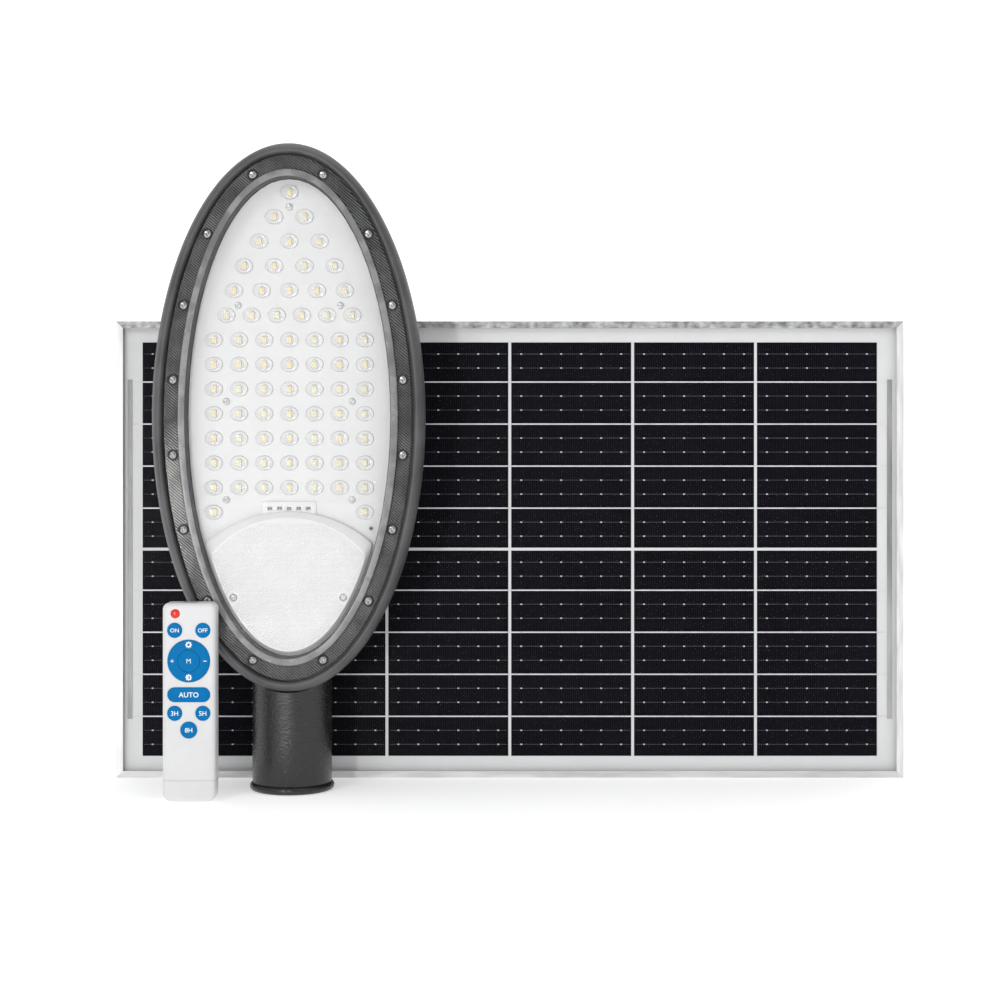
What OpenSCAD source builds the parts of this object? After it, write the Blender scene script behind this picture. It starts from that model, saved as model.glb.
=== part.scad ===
// Solar street lamp set: an oval LED head on a pole socket, its solar panel and its remote control.
// Millimetres, +Z up, the lamp faces -Y. The origin is the centre of the pole socket's mouth.
// The head is described on its own centre: u runs across it, v up it, and Y is the depth.

/* [Lamp head] */
// Width of the oval head
head_w = 210; // [175:1:260]
// Height of the oval head
head_h = 422; // [350:1:510]
// Width of the rolled rim
rim_w = 8.5; // [7:0.5:11]
// Depth of the rim, crest to the start of the domed back
rim_depth = 20; // [20:0.5:26]
// Depth of the domed back behind the rim
dome_depth = 52; // [50:1:64]
// Distance from the socket's axis forward to the rim's crest
head_front = 36; // [34:1:42]
// Wall of the cast housing
housing_wall = 3; // [2.5:0.25:4]

/* [Clear cover] */
// Width of the cover's screwed flange
flange_w = 11; // [10:0.5:13]
// Thickness of the clear cover
cover_t = 3; // [2.5:0.25:3.5]
// How far the flange lies behind the rim's crest
cover_recess = 5; // [4:0.5:6]
// How far the window stands in front of the flange
window_rise = 3; // [2.5:0.5:4]
// Thickness of the silicone gasket
gasket_t = 1.5; // [1:0.25:2.5]
// Number of cover screws
cover_screw_count = 16; // [12:2:20]

/* [LED board] */
// Thickness of the metal-core board
board_t = 2; // [1.5:0.25:3]
// How far the board's front lies behind the gasket ledge
board_recess = 6.5; // [6:0.5:8]
// Border between the clear flange and the board's edge
board_border = 7.5; // [7:0.5:9]
// Radius of an LED lens's round foot
lens_r = 6.4; // [5:0.2:7.5]
// Height of an LED lens
lens_h = 6; // [4.5:0.5:6.5]
// Side of an LED chip
chip_w = 3; // [2.8:0.1:3.5]
// Column spacing of the LEDs
led_pitch_x = 19.4; // [16:0.2:22]
// Column spacing in the short rows near the tip
led_pitch_wide = 23.3; // [20:0.2:26]
// Row spacing of the LEDs
led_pitch_z = 19; // [16:0.2:22]
// Most LEDs in a row
led_columns = 7; // [5:1:9]

/* [Driver bay] */
// Radius of the arc along the driver cover's upper edge
bay_arc_r = 96.4; // [85:0.1:110]
// Height of that arc below the head's centre
bay_drop = 72.6; // [60:0.1:90]
// How far the driver cover stands in front of the board
bay_h = 8; // [6:0.5:8.5]
// Wall of the driver cover
bay_wall = 2; // [1.5:0.25:2.5]
// Diameter of a battery cell
cell_d = 32.5; // [26:0.5:33]
// Length of a battery cell
cell_len = 70; // [65:0.5:71]

/* [Pole socket] */
// Diameter of the pole's end
pole_d = 57; // [48:0.5:64]
// Radial clearance between the pole and the socket
pole_gap = 0.5; // [0.2:0.1:1]
// Wall of the socket
sleeve_wall = 2; // [1.5:0.25:3]
// Depth of the socket
socket_depth = 75; // [60:1:76]
// Distance from the socket's mouth up to the head's lower edge
sleeve_show = 79; // [79:1:100]
// Width of the neck that is bolted to the back of the head
neck_w = 46; // [44:1:54]
// Radius of a clamp screw
clamp_screw_r = 4; // [3:0.5:5]

/* [Solar panel] */
// Width of one solar cell
solar_w = 97; // [80:0.5:110]
// Height of one solar cell
solar_h = 166; // [140:0.5:182]
// Columns of cells
solar_columns = 6; // [4:1:8]
// Rows of cells
solar_rows = 2; // [1:1:3]
// Gap between neighbouring cells
solar_gap = 2.4; // [1.5:0.1:4]
// White border at the sides of the cells
border_x = 15; // [13:0.5:24]
// White border above and below the cells
border_z = 11.3; // [9:0.1:20]
// Width of the frame's front lip
lip_w = 5.5; // [5:0.5:8]
// Depth of the panel's frame
frame_depth = 25; // [22:1:35]
// Wall of the frame's extrusion
frame_wall = 1.6; // [1.2:0.1:2]
// Width of the frame's rear flange
flange_rear = 20; // [18:1:26]
// Thickness of the glass
glass_t = 3.2; // [2.5:0.1:4]
// Distance between the mounting holes along the panel
hole_span = 400; // [300:10:440]
// Radius of a mounting hole
hole_r = 3.5; // [2.5:0.25:4.5]

/* [Remote control] */
// Width of the remote
remote_w = 40; // [38:0.5:48]
// Height of the remote
remote_h = 150; // [148:0.5:170]
// Thickness of the remote
remote_t = 19; // [19:0.5:23]
// Height of the battery cap
cap_h = 16; // [15:0.5:20]
// Radius of the navigation ring
ring_r = 16; // [15.4:0.1:17]
// Radius of the small round keys
key_r = 5.6; // [5:0.1:6]
// How far the keys stand out of the face
key_out = 0.8; // [0.8:0.1:1.4]
// Radial gap between a key and its hole
key_gap = 0.3; // [0.25:0.05:0.5]

/* [Set-out] */
// Distance from the socket's axis back to the panel's front face
panel_back = 45; // [44:1:120]
// Distance from the lamp's axis across to the panel's centre
panel_across = 170.5; // [0:0.5:300]
// Distance from the lamp's axis across to the remote's centre line
remote_across = -71.8; // [-160:0.2:-40]
// Distance from the rim's crest forward to the remote's back
remote_ahead = 2; // [2:0.5:60]

/* [Hidden] */

fine = 64;   // segments of a large round shape
round = 32;  // segments of a small round shape
sides = 64;  // segments round the oval head
seat = 0.05; // clearance of a screw in its hole

a = head_w / 2;
b = head_h / 2;
head_z = sleeve_show + b;

// Depths, front to back
y_rim = -head_front;
y_dome = y_rim + rim_depth;
y_cover = y_rim + cover_recess;
y_window = y_cover - window_rise;
y_gasket = y_cover + cover_t;
y_ledge = y_gasket + gasket_t;
y_board = y_ledge + board_recess;
y_board_back = y_board + board_t;

// Insets from the head's outline
cover_gap = 1.1;                                // groove between the rim and the cover
in_cover = rim_w + cover_gap;
in_window = in_cover + flange_w;
in_screws = in_cover + flange_w / 2 + 0.8;
in_board = in_window + board_border - 1;
in_shelf = in_board + 3;                        // inner edge of the shelf that carries the board
shelf_t = 4;

dome_power = 2.5;                               // 2 is an ellipsoid, more is boxier

// Sizes of the screws: shank radius, head radius, head height
m3 = [1.5, 2.8, 1.8];
m4 = [2, 3.6, 2.4];
m5 = [2.5, 4.25, 5];

//---------------------------------------------------------------- helpers

// Extrudes a shape drawn in X and Z from depth y0 back to y1
module along_y(y0, y1) {
    translate([0, y1, 0])
        rotate([90, 0, 0])
            linear_extrude(y1 - y0)
                children();
}

// Extrudes a shape drawn in Y and Z, centred on X
module along_x(length) {
    translate([-length / 2, 0, 0])
        rotate([90, 0, 90])
            linear_extrude(length)
                children();
}

// A round bar along +Y
module rod_y(x, z, r, y0, y1, fn = round) {
    translate([x, y0, z])
        rotate([-90, 0, 0])
            cylinder(r = r, h = y1 - y0, $fn = fn);
}

module box(x0, x1, y0, y1, z0, z1) {
    translate([x0, y0, z0])
        cube([x1 - x0, y1 - y0, z1 - z0]);
}

// The head's outline moved inwards
module oval(inset) {
    polygon([for (i = [0 : sides - 1]) oval_point(inset, 360 * i / sides)]);
}

module at_head() {
    translate([0, 0, head_z])
        children();
}

// A rectangle with true round corners, lower left corner at x0, z0
module rounded(x0, z0, w, h, r) {
    translate([x0 + r, z0])
        square([w - 2 * r, h]);
    translate([x0, z0 + r])
        square([w, h - 2 * r]);
    for (x = [x0 + r, x0 + w - r])
        for (z = [z0 + r, z0 + h - r])
            translate([x, z])
                circle(r = r, $fn = fine);
}

function oval_point(inset, t) = [(a - inset) * cos(t), (b - inset) * sin(t)];

// Running length round an oval, as pairs of length and angle
function oval_run(inset, n = 360) = [
    for (i = 0, s = 0; i <= n; s = s + norm(oval_point(inset, 360 * (i + 1) / n)
        - oval_point(inset, 360 * i / n)), i = i + 1)
        [s, 360 * i / n]
];

// Points at equal steps round an oval, the first half a step from the side
function oval_stations(inset, count) =
    let (run = oval_run(inset), total = run[360][0])
    [for (k = [0 : count - 1]) oval_point(inset, lookup((k + 0.5) * total / count, run))];

// Depth of the domed back at u, v, for a surface that lies inset inside the outer one
function dome_at(u, v, inset) =
    y_dome + (dome_depth - inset) * dome_share(norm([u / (a - inset), v / (b - inset)]));
function dome_share(r) = sqrt(max(0, 1 - pow(r, dome_power)));

// One closed skin through rings [semi-width, semi-height, depth], with a point at each end
module ring_skin(rings, y_first, y_last) {
    count = len(rings);
    points = concat(
        [[0, y_first, 0]],
        [for (g = rings) for (i = [0 : sides - 1])
            [g[0] * cos(360 * i / sides), g[2], g[1] * sin(360 * i / sides)]],
        [[0, y_last, 0]]
    );
    last = count * sides + 1;
    faces = concat(
        [for (i = [0 : sides - 1]) [0, 1 + i, 1 + (i + 1) % sides]],
        [for (k = [0 : count - 2]) for (i = [0 : sides - 1])
            let (p = 1 + k * sides + i, q = 1 + k * sides + (i + 1) % sides)
            [p, p + sides, q]],
        [for (k = [0 : count - 2]) for (i = [0 : sides - 1])
            let (p = 1 + k * sides + i, q = 1 + k * sides + (i + 1) % sides)
            [q, p + sides, q + sides]],
        [for (i = [0 : sides - 1])
            [last, 1 + (count - 1) * sides + (i + 1) % sides, 1 + (count - 1) * sides + i]]
    );
    polyhedron(points, faces);
}

// A pan head screw along Y, head in front, with a cross recess
module screw_y(x, y, z, size, length) {
    difference() {
        union() {
            rod_y(x, z, size[1], y - size[2], y);
            rod_y(x, z, size[0], y - seat, y + length);
        }
        for (turn = [0, 90])
            translate([x, y - size[2], z])
                rotate([0, turn, 0])
                    cube([size[1] * 1.3, size[2], size[0] * 0.5], center = true);
    }
}

//---------------------------------------------------------------- lamp head

dome_steps = [0.16, 0.32, 0.46, 0.58, 0.69, 0.78, 0.86, 0.92, 0.96, 0.985];

function dome_rings(inset) = [
    for (r = dome_steps)
        [(a - inset) * r, (b - inset) * r, y_dome + (dome_depth - inset) * dome_share(r)]
];
function level(inset, y) = [a - inset, b - inset, y];
function backwards(list) = [for (i = [len(list) - 1 : -1 : 0]) list[i]];

// Rim section, from the dome round the rolled crest and down to the gasket ledge
rim_rings = [
    level(0, y_dome),
    level(0, y_rim + 7),
    level(rim_w * 0.14, y_rim + 3),
    level(rim_w * 0.4, y_rim + 0.5),
    level(rim_w * 0.6, y_rim),
    level(rim_w * 0.82, y_rim + 0.6),
    level(rim_w * 0.97, y_rim + 3),
    level(rim_w, y_rim + 7),
    level(rim_w, y_ledge)
];
ledge_rings = [
    level(in_window + 1.5, y_ledge),
    level(in_board - 0.5, y_ledge + board_recess * 0.5),
    level(in_board - 0.5, y_board_back),
    level(in_shelf, y_board_back),
    level(in_shelf, y_board_back + shelf_t),
    level(housing_wall + 1.5, y_board_back + shelf_t)
];

module housing_shell() {
    ring_skin(
        concat(dome_rings(0), rim_rings, ledge_rings, backwards(dome_rings(housing_wall))),
        y_dome + dome_depth, y_dome + dome_depth - housing_wall
    );
}

// The head's outer form as a plain solid, grown by gap, for cutting the neck to it
module head_form(gap) {
    ring_skin(
        concat(
            [for (g = dome_rings(0)) [g[0] + gap, g[1] + gap, g[2] + gap]],
            [level(-gap, y_dome + gap), level(-gap, y_rim - 20)]
        ),
        y_dome + dome_depth + gap, y_rim - 20
    );
}

// Height of an LED row; the board screws stand between rows and between columns
led_edge = 10;
function row_v(row) = b - in_board - led_edge - (row - 1) * led_pitch_z;
board_screw_places = concat(
    [[0, row_v(1.6)]],
    [for (side = [-1, 1]) [side * 39.5, row_v(5.6)]],
    [for (row = [9.5, 13.5]) for (side = [-1, 1]) [side * 2.5 * led_pitch_x, row_v(row)]]
);

// What is fitted behind the driver cover is placed up from the head's lower edge
post_r = 4;
bay_screw_v = 72.7 - b;
bay_screw_u = (a - in_board) * sqrt(1 - pow(bay_screw_v / (b - in_board), 2)) - 8.9;
bay_screw_places = [[-bay_screw_u, bay_screw_v], [bay_screw_u, bay_screw_v]];
control_foot = 51 - b;       // lower edge of the controller board
control_size = [2 * (bay_screw_u - post_r - 1.5), 62];
post_places = [for (u = [-22, 22]) for (v = [8, 53]) [u, control_foot + v]];
neck_screw_places = [for (u = [-15, 15]) for (v = [41, 83]) [u, v - b]];
neck_boss_r = 6;
y_control = y_board + 12;    // front face of the controller board
control_t = 1.6;
neck_seat = y_dome + dome_depth - 2.5;  // where the neck's screw heads seat
neck_screw_len = 24;

module posts(places, r, y_front) {
    for (p = places)
        rod_y(p[0], p[1], r, y_front, y_dome + dome_depth);
}

// The posts cast inside the dome, stopped within its wall
module standoffs() {
    intersection() {
        union() {
            posts(concat(board_screw_places, bay_screw_places), post_r, y_board_back);
            posts(post_places, post_r, y_control + control_t);
            posts(neck_screw_places, neck_boss_r, neck_seat - neck_screw_len - 4);
        }
        head_form(-housing_wall / 2);
    }
}

gland_u = -42;
gland_z = 128;                // underside of the gland boss
gland_y = 22;
gland_thread_r = 6;
gland_boss = [22, 18, 22];    // across, deep, high

module gland_boss_block() {
    z0 = gland_z - head_z;
    box(gland_u - gland_boss[0] / 2, gland_u + gland_boss[0] / 2,
        dome_at(gland_u, z0 + gland_boss[2], housing_wall / 2) - 8, gland_y + gland_boss[1] / 2,
        z0, z0 + gland_boss[2]);
}

module rear_housing() {
    color("dimgray")
        at_head()
            difference() {
                union() {
                    housing_shell();
                    standoffs();
                    gland_boss_block();
                }
                for (p = oval_stations(in_screws, cover_screw_count))
                    rod_y(p[0], p[1], m4[0] + seat, y_ledge - 1, y_ledge + 10);
                for (p = concat(board_screw_places, bay_screw_places))
                    rod_y(p[0], p[1], m3[0] + seat, y_board_back - 1, y_board_back + 9);
                for (p = post_places)
                    rod_y(p[0], p[1], m3[0] + seat, y_control, y_control + 9);
                for (p = neck_screw_places)
                    rod_y(p[0], p[1], m5[0] + seat, neck_seat - neck_screw_len - 1, neck_seat + 9);
                translate([gland_u, gland_y, gland_z - head_z - 1])
                    cylinder(r = gland_thread_r + seat, h = gland_boss[2] - 4, $fn = round);
                rod_y(gland_u, gland_z - head_z + 12, 4, y_board_back + 14, gland_y);
            }
}

module cover_gasket() {
    color("darkslategray")
        at_head()
            difference() {
                along_y(y_gasket, y_ledge)
                    oval(in_cover + 0.5);
                along_y(y_gasket - 1, y_ledge + 1)
                    oval(in_window + 1);
                for (p = oval_stations(in_screws, cover_screw_count))
                    rod_y(p[0], p[1], m4[0] + 2 * seat, y_gasket - 1, y_ledge + 1);
            }
}

module clear_cover() {
    color([0.85, 0.9, 0.92, 0.4])
        at_head()
            difference() {
                union() {
                    along_y(y_cover, y_gasket)
                        oval(in_cover);
                    along_y(y_window, y_gasket)
                        oval(in_window);
                }
                along_y(y_window + cover_t, y_gasket + 1)
                    oval(in_window + cover_t);
                for (p = oval_stations(in_screws, cover_screw_count))
                    rod_y(p[0], p[1], m4[0] + 2 * seat, y_cover - 1, y_gasket + 1);
            }
}

module cover_screws() {
    color("silver")
        at_head()
            for (p = oval_stations(in_screws, cover_screw_count))
                screw_y(p[0], y_cover, p[1], m4, cover_t + gasket_t + 8);
}

//---------------------------------------------------------------- LED board and driver bay

// The driver bay's outline, moved inwards
module bay_outline(inset) {
    intersection() {
        oval(in_board + 1.5 + inset);
        translate([0, -bay_drop - bay_arc_r])
            circle(r = bay_arc_r - inset, $fn = fine);
    }
}

bay_rim = 10;                // how far the board reaches in under the driver cover
tab = [42, 8, 12];           // the charge window's width, height above the arc, and reach below it
charge_pitch = 7.4;
charge_slot = [4, 3];
charge_v = -bay_drop + 2.5;
charge_places = [for (k = [-2 : 2]) [k * charge_pitch, charge_v]];

module tab_outline() {
    translate([-tab[0] / 2, -bay_drop - tab[2]])
        square([tab[0], tab[1] + tab[2]]);
}

// Rows of LEDs from the top, with the ones that would reach the bay or the board's edge left out
led_rows = floor((2 * b) / led_pitch_z);
function led_count(row) = min(led_columns, row);
function led_pitch(count) =
    count < 5 ? led_pitch_wide : count == 5 ? (led_pitch_x + led_pitch_wide) / 2 : led_pitch_x;
function bay_edge(u) = -bay_drop - bay_arc_r + sqrt(max(0, bay_arc_r * bay_arc_r - u * u));
function led_fits(p) =
    norm([p[0] / (a - in_board - lens_r - 2), p[1] / (b - in_board - lens_r - 2)]) < 1
    && p[1] > bay_edge(p[0]) + lens_r + 3;
led_places = [
    for (row = [1 : led_rows]) for (k = [0 : led_count(row) - 1])
        let (n = led_count(row),
             p = [(k - (n - 1) / 2) * led_pitch(n), row_v(row)])
        if (led_fits(p)) p
];

module led_board() {
    color("white")
        at_head()
            difference() {
                along_y(y_board, y_board_back)
                    oval(in_board);
                along_y(y_board - 1, y_board_back + 1)
                    bay_outline(bay_rim);
                for (p = concat(board_screw_places, bay_screw_places))
                    rod_y(p[0], p[1], m3[0] + 2 * seat, y_board - 1, y_board_back + 1);
            }
}

chip_t = 0.8;

module led_chips() {
    color("khaki")
        at_head()
            for (p = led_places)
                box(p[0] - chip_w / 2, p[0] + chip_w / 2, y_board - chip_t, y_board,
                    p[1] - chip_w / 2, p[1] + chip_w / 2);
}

lens_foot = 1;
lens_pocket = chip_t + 0.4;

module led_lenses() {
    dome_r = lens_h - lens_foot + 0.5;
    color([0.95, 0.97, 1, 0.6])
        at_head()
            for (p = led_places)
                difference() {
                    union() {
                        rod_y(p[0], p[1], lens_r, y_board - lens_foot, y_board);
                        intersection() {
                            translate([p[0], y_board - lens_h + dome_r, p[1]])
                                sphere(r = dome_r, $fn = round);
                            rod_y(p[0], p[1], dome_r, y_board - lens_h - 1, y_board - lens_foot);
                        }
                    }
                    rod_y(p[0], p[1], chip_w * 0.8, y_board - lens_pocket, y_board + 1);
                }
}

module board_screws() {
    color("silver")
        at_head()
            for (p = board_screw_places)
                screw_y(p[0], y_board, p[1], m3, board_t + 7);
}

module driver_cover() {
    y_front = y_board - bay_h;
    color("whitesmoke")
        at_head()
            difference() {
                union() {
                    along_y(y_front, y_board)
                        bay_outline(0);
                    along_y(y_front + 2, y_board)
                        tab_outline();
                }
                difference() {
                    union() {
                        along_y(y_front + bay_wall, y_board + 1)
                            bay_outline(bay_wall);
                        along_y(y_front + 2 + bay_wall, y_board + 1)
                            intersection() {
                                tab_outline();
                                translate([0, -bay_wall])
                                    tab_outline();
                                translate([bay_wall, 0])
                                    tab_outline();
                                translate([-bay_wall, 0])
                                    tab_outline();
                            }
                    }
                    for (p = bay_screw_places)
                        rod_y(p[0], p[1], post_r, y_front, y_board + 2);
                }
                for (p = bay_screw_places) {
                    rod_y(p[0], p[1], m3[0] + 2 * seat, y_front - 1, y_board + 1);
                    rod_y(p[0], p[1], m3[1] + 0.3, y_front - 1, y_front + m3[2]);
                }
                for (p = charge_places)
                    along_y(y_front - 1, y_board)
                        translate([p[0] - charge_slot[0] / 2, p[1] - charge_slot[1] / 2])
                            square(charge_slot);
            }
}

module driver_cover_screws() {
    color("silver")
        at_head()
            for (p = bay_screw_places)
                screw_y(p[0], y_board - bay_h + m3[2], p[1], m3, bay_h - m3[2] + board_t + 7);
}

module charge_leds() {
    color("dimgray")
        at_head()
            for (p = charge_places)
                box(p[0] - 1.3, p[0] + 1.3, y_board - 1.1, y_board, p[1] - 0.8, p[1] + 0.8);
}

receiver_u = a - in_board - 14.9;

module remote_receiver() {
    v = bay_edge(receiver_u) + 10.5;
    color("black")
        at_head() {
            rod_y(receiver_u, v, 1.8, y_board - 2.5, y_board);
            translate([receiver_u, y_board - 2.5, v])
                sphere(r = 1.8, $fn = round);
        }
}

//---------------------------------------------------------------- battery and controller

pack_gap = 0.5;
tray_wall = 1.5;
cell_y = y_board_back + 2.5 + cell_d / 2;
cell_step = cell_len + 3 * pack_gap;
tray_half = cell_d + pack_gap / 2 + 0.3 + tray_wall;
tray_back = cell_y + cell_d / 2 + 0.3 + tray_wall;

// As many rows of cells as fit between the controller and the place where the dome gets too shallow
tray_share = (tray_back + 0.3 - y_dome) / (dome_depth - housing_wall);
tray_r = pow(1 - tray_share * tray_share, 1 / dome_power);
tray_limit = (b - housing_wall) * sqrt(tray_r * tray_r - pow(tray_half / (a - housing_wall), 2));
tray_foot = control_foot + control_size[1] + 11;
pack_rows = floor((tray_limit - tray_foot - 2 * tray_wall - 1) / cell_step);
pack_top = tray_foot + tray_wall + 1 + pack_rows * cell_step;
cell_places = [
    for (u = [-0.5, 0.5]) for (k = [0 : pack_rows - 1])
        [u * (cell_d + pack_gap), pack_top - cell_len - k * cell_step]
];

module battery_cells() {
    color("royalblue")
        at_head()
            for (p = cell_places) {
                translate([p[0], cell_y, p[1]])
                    cylinder(r = cell_d / 2, h = cell_len - 1, $fn = fine);
                translate([p[0], cell_y, p[1] + cell_len - 1 - seat])
                    cylinder(r = cell_d / 5, h = 1, $fn = round);
            }
}

module battery_tray() {
    z1 = pack_top + tray_wall + 1;
    inner = tray_half - tray_wall;
    slot = tray_half - 8;
    color("gray")
        at_head()
            difference() {
                box(-tray_half, tray_half, y_board_back, tray_back, tray_foot, z1);
                box(-inner, inner, y_board_back - 1, tray_back - tray_wall, tray_foot + tray_wall,
                    z1 - tray_wall);
                for (z = [tray_foot - 1, z1 - tray_wall - 1])
                    box(-slot, slot, y_board_back - 1, cell_y, z, z + tray_wall + 2);
            }
}

// Nickel strips across the front of neighbouring cells
module battery_links() {
    color("silver")
        at_head()
            for (k = [0 : pack_rows - 1])
                let (v = pack_top - cell_len - k * cell_step)
                    box(-cell_d / 2 - 4, cell_d / 2 + 4, cell_y - cell_d / 2 - 0.35,
                        cell_y - cell_d / 2 - 0.05, v + 30, v + 38);
}

module controller_board() {
    color("darkgreen")
        at_head()
            difference() {
                box(-control_size[0] / 2, control_size[0] / 2, y_control, y_control + control_t,
                    control_foot, control_foot + control_size[1]);
                for (p = post_places)
                    rod_y(p[0], p[1], m3[0] + seat, y_control - 1, y_control + control_t + 1);
            }
}

module controller_parts() {
    color("black")
        at_head() {
            for (u = [-12, 2])
                rod_y(u, control_foot + 32, 5, y_control - 11, y_control);
            for (u = [-26, -14, -2])
                box(u, u + 8, y_control - 3, y_control, control_foot + 12, control_foot + 20);
            box(10, 28, y_control - 9, y_control, control_foot + 23, control_foot + 41);
            box(-16, 16, y_control - 8, y_control, control_foot + 51, control_foot + 59);
            for (p = post_places)
                screw_y(p[0], y_control, p[1], m3, control_t + 6);
        }
}

//---------------------------------------------------------------- pole sleeve

bore_r = pole_d / 2 + pole_gap;
sleeve_r = bore_r + sleeve_wall;
sleeve_end = 4;              // wall that closes the socket
bead_r = 3;
bead_out = 1;                // how far the rolled mouth stands out past the tube, beyond its own radius
neck_back = y_dome + dome_depth + 2;
neck_top = sleeve_show + 101;
clamp_boss_r = 7;
clamp_boss_out = 5.5;
clamp_heights = [20, 52];
clamp_len = 10;

module neck() {
    along_x(neck_w)
        polygon([
            [0, sleeve_show - 30], [sleeve_r - 1, sleeve_show - 30], [neck_back - 2, sleeve_show - 6],
            [neck_back, sleeve_show + 14], [neck_back, neck_top - 36],
            [neck_back - 3.5, neck_top - 2], [neck_back - 6, neck_top], [0, neck_top]
        ]);
}

module mouth_bead() {
    translate([0, 0, bead_r])
        rotate_extrude($fn = fine)
            translate([sleeve_r + bead_out - bead_r + 1, 0])
                circle(r = bead_r, $fn = round);
}

module pole_sleeve() {
    color([0.16, 0.16, 0.17])
        difference() {
            union() {
                cylinder(r = sleeve_r, h = socket_depth + sleeve_end, $fn = fine);
                mouth_bead();
                difference() {
                    union() {
                        neck();
                        translate([0, 0, sleeve_show - 20])
                            cylinder(r = sleeve_r, h = 45, $fn = fine);
                    }
                    translate([0, 0, head_z])
                        head_form(0.3);
                }
                for (z = clamp_heights)
                    rod_y(0, z, clamp_boss_r, bore_r + 1, sleeve_r + clamp_boss_out);
            }
            translate([0, 0, -1])
                cylinder(r = bore_r, h = socket_depth + 1, $fn = fine);
            for (z = clamp_heights)
                rod_y(0, z, clamp_screw_r + seat, 0, sleeve_r + clamp_boss_out + 1);
            for (p = neck_screw_places) {
                rod_y(p[0], head_z + p[1], m5[0] + seat, 0, neck_back + 1);
                rod_y(p[0], head_z + p[1], m5[1] + 0.4, neck_seat, neck_back + 1);
            }
        }
}

module neck_screws() {
    color("silver")
        for (p = neck_screw_places)
            difference() {
                union() {
                    rod_y(p[0], head_z + p[1], m5[1], neck_seat, neck_seat + m5[2]);
                    rod_y(p[0], head_z + p[1], m5[0], neck_seat - neck_screw_len, neck_seat + seat);
                }
                rod_y(p[0], head_z + p[1], 2.3, neck_seat + 2.5, neck_seat + m5[2] + 1, 6);
            }
}

// Socket set screw, its tip just clear of the bore
module clamp_screw(z) {
    tip = bore_r + 0.2;
    color("silver")
        difference() {
            rod_y(0, z, clamp_screw_r, tip, tip + clamp_len);
            rod_y(0, z, clamp_screw_r * 0.57, tip + clamp_len - 4, tip + clamp_len + 1, 6);
        }
}

//---------------------------------------------------------------- cable glands

gland_bore = 3.2;
gland_hex = 9;

// Gland body: thread up into the box, hexagon below, with its underside thread for the nut
module gland_body(thread) {
    color("black")
        difference() {
            union() {
                cylinder(r = gland_thread_r, h = thread, $fn = round);
                translate([0, 0, -5])
                    cylinder(r = gland_hex, h = 5, $fn = 6);
                translate([0, 0, -12])
                    cylinder(r = gland_thread_r, h = 8, $fn = round);
            }
            translate([0, 0, -13])
                cylinder(r = gland_bore, h = thread + 14, $fn = round);
        }
}

module gland_cap() {
    color("black")
        difference() {
            union() {
                translate([0, 0, -12])
                    cylinder(r = gland_hex - 0.5, h = 6.8, $fn = 6);
                translate([0, 0, -16])
                    cylinder(r1 = gland_bore + 2.4, r2 = gland_hex - 1.4, h = 4, $fn = round);
            }
            translate([0, 0, -12])
                cylinder(r = gland_thread_r + seat, h = 8, $fn = round);
            translate([0, 0, -17])
                cylinder(r = gland_bore, h = 8, $fn = round);
        }
}

module at_lamp_gland() {
    translate([gland_u, gland_y, gland_z])
        children();
}

//---------------------------------------------------------------- solar panel

cells_w = solar_columns * solar_w + (solar_columns - 1) * solar_gap;
cells_h = solar_rows * solar_h + (solar_rows - 1) * solar_gap;
panel_w = cells_w + 2 * (border_x + lip_w);
panel_h = cells_h + 2 * (border_z + lip_w);

// Depths inside the panel, from its front face back
lip_t = 1.5;
seal_t = 0.5;
ribbon_t = 0.15;
wafer_t = 0.3;
sheet_t = 0.8;
d_glass = lip_t + seal_t;
d_ribbon = d_glass + glass_t;
d_wafer = d_ribbon + ribbon_t;
d_sheet = d_wafer + wafer_t;
d_back = d_sheet + sheet_t;
d_shelf = d_back + seal_t;
box_w = 8;                   // width of the extrusion's hollow box
glass_in = frame_wall + 0.6; // the glass's edge inside the frame's outer face

module at_panel() {
    translate([panel_across, panel_back, 0])
        children();
}

// The frame's section: first coordinate inwards from the outer face, second back from the front
module frame_section() {
    difference() {
        union() {
            square([frame_wall, frame_depth]);
            square([lip_w, lip_t]);
            translate([0, d_shelf])
                square([box_w, frame_depth - d_shelf]);
            translate([0, frame_depth - lip_t])
                square([flange_rear, lip_t]);
        }
        translate([frame_wall, d_shelf + lip_t])
            square([box_w - 2 * frame_wall, frame_depth - d_shelf - 2 * lip_t]);
    }
}

// One bar of the frame lying along the bottom edge, mitred at both ends
module frame_bar(length) {
    reach = flange_rear + 5;
    intersection() {
        along_x(length)
            rotate(90)
                mirror([0, 1])
                    frame_section();
        along_y(-1, frame_depth + 1)
            polygon([[-length / 2, 0], [length / 2, 0], [length / 2 - reach, reach],
                     [-length / 2 + reach, reach]]);
    }
}

module mounting_holes(z) {
    for (x = [-hole_span / 2, hole_span / 2])
        rod_y(x, z, hole_r, frame_depth - lip_t - 1, frame_depth + 1);
}

hole_in = (box_w + flange_rear) / 2;

module frame_bottom() {
    color("gainsboro")
        at_panel()
            difference() {
                frame_bar(panel_w);
                mounting_holes(hole_in);
            }
}

module frame_top() {
    color("gainsboro")
        at_panel()
            difference() {
                translate([0, 0, panel_h])
                    mirror([0, 0, 1])
                        frame_bar(panel_w);
                mounting_holes(panel_h - hole_in);
            }
}

// side is -1 for the left bar and 1 for the right one
module frame_side(side) {
    color("gainsboro")
        at_panel()
            translate([side * panel_w / 2, 0, panel_h / 2])
                rotate([0, -side * 90, 0])
                    frame_bar(panel_h);
}

key_leg = 25;
key_play = 0.2;

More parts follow.
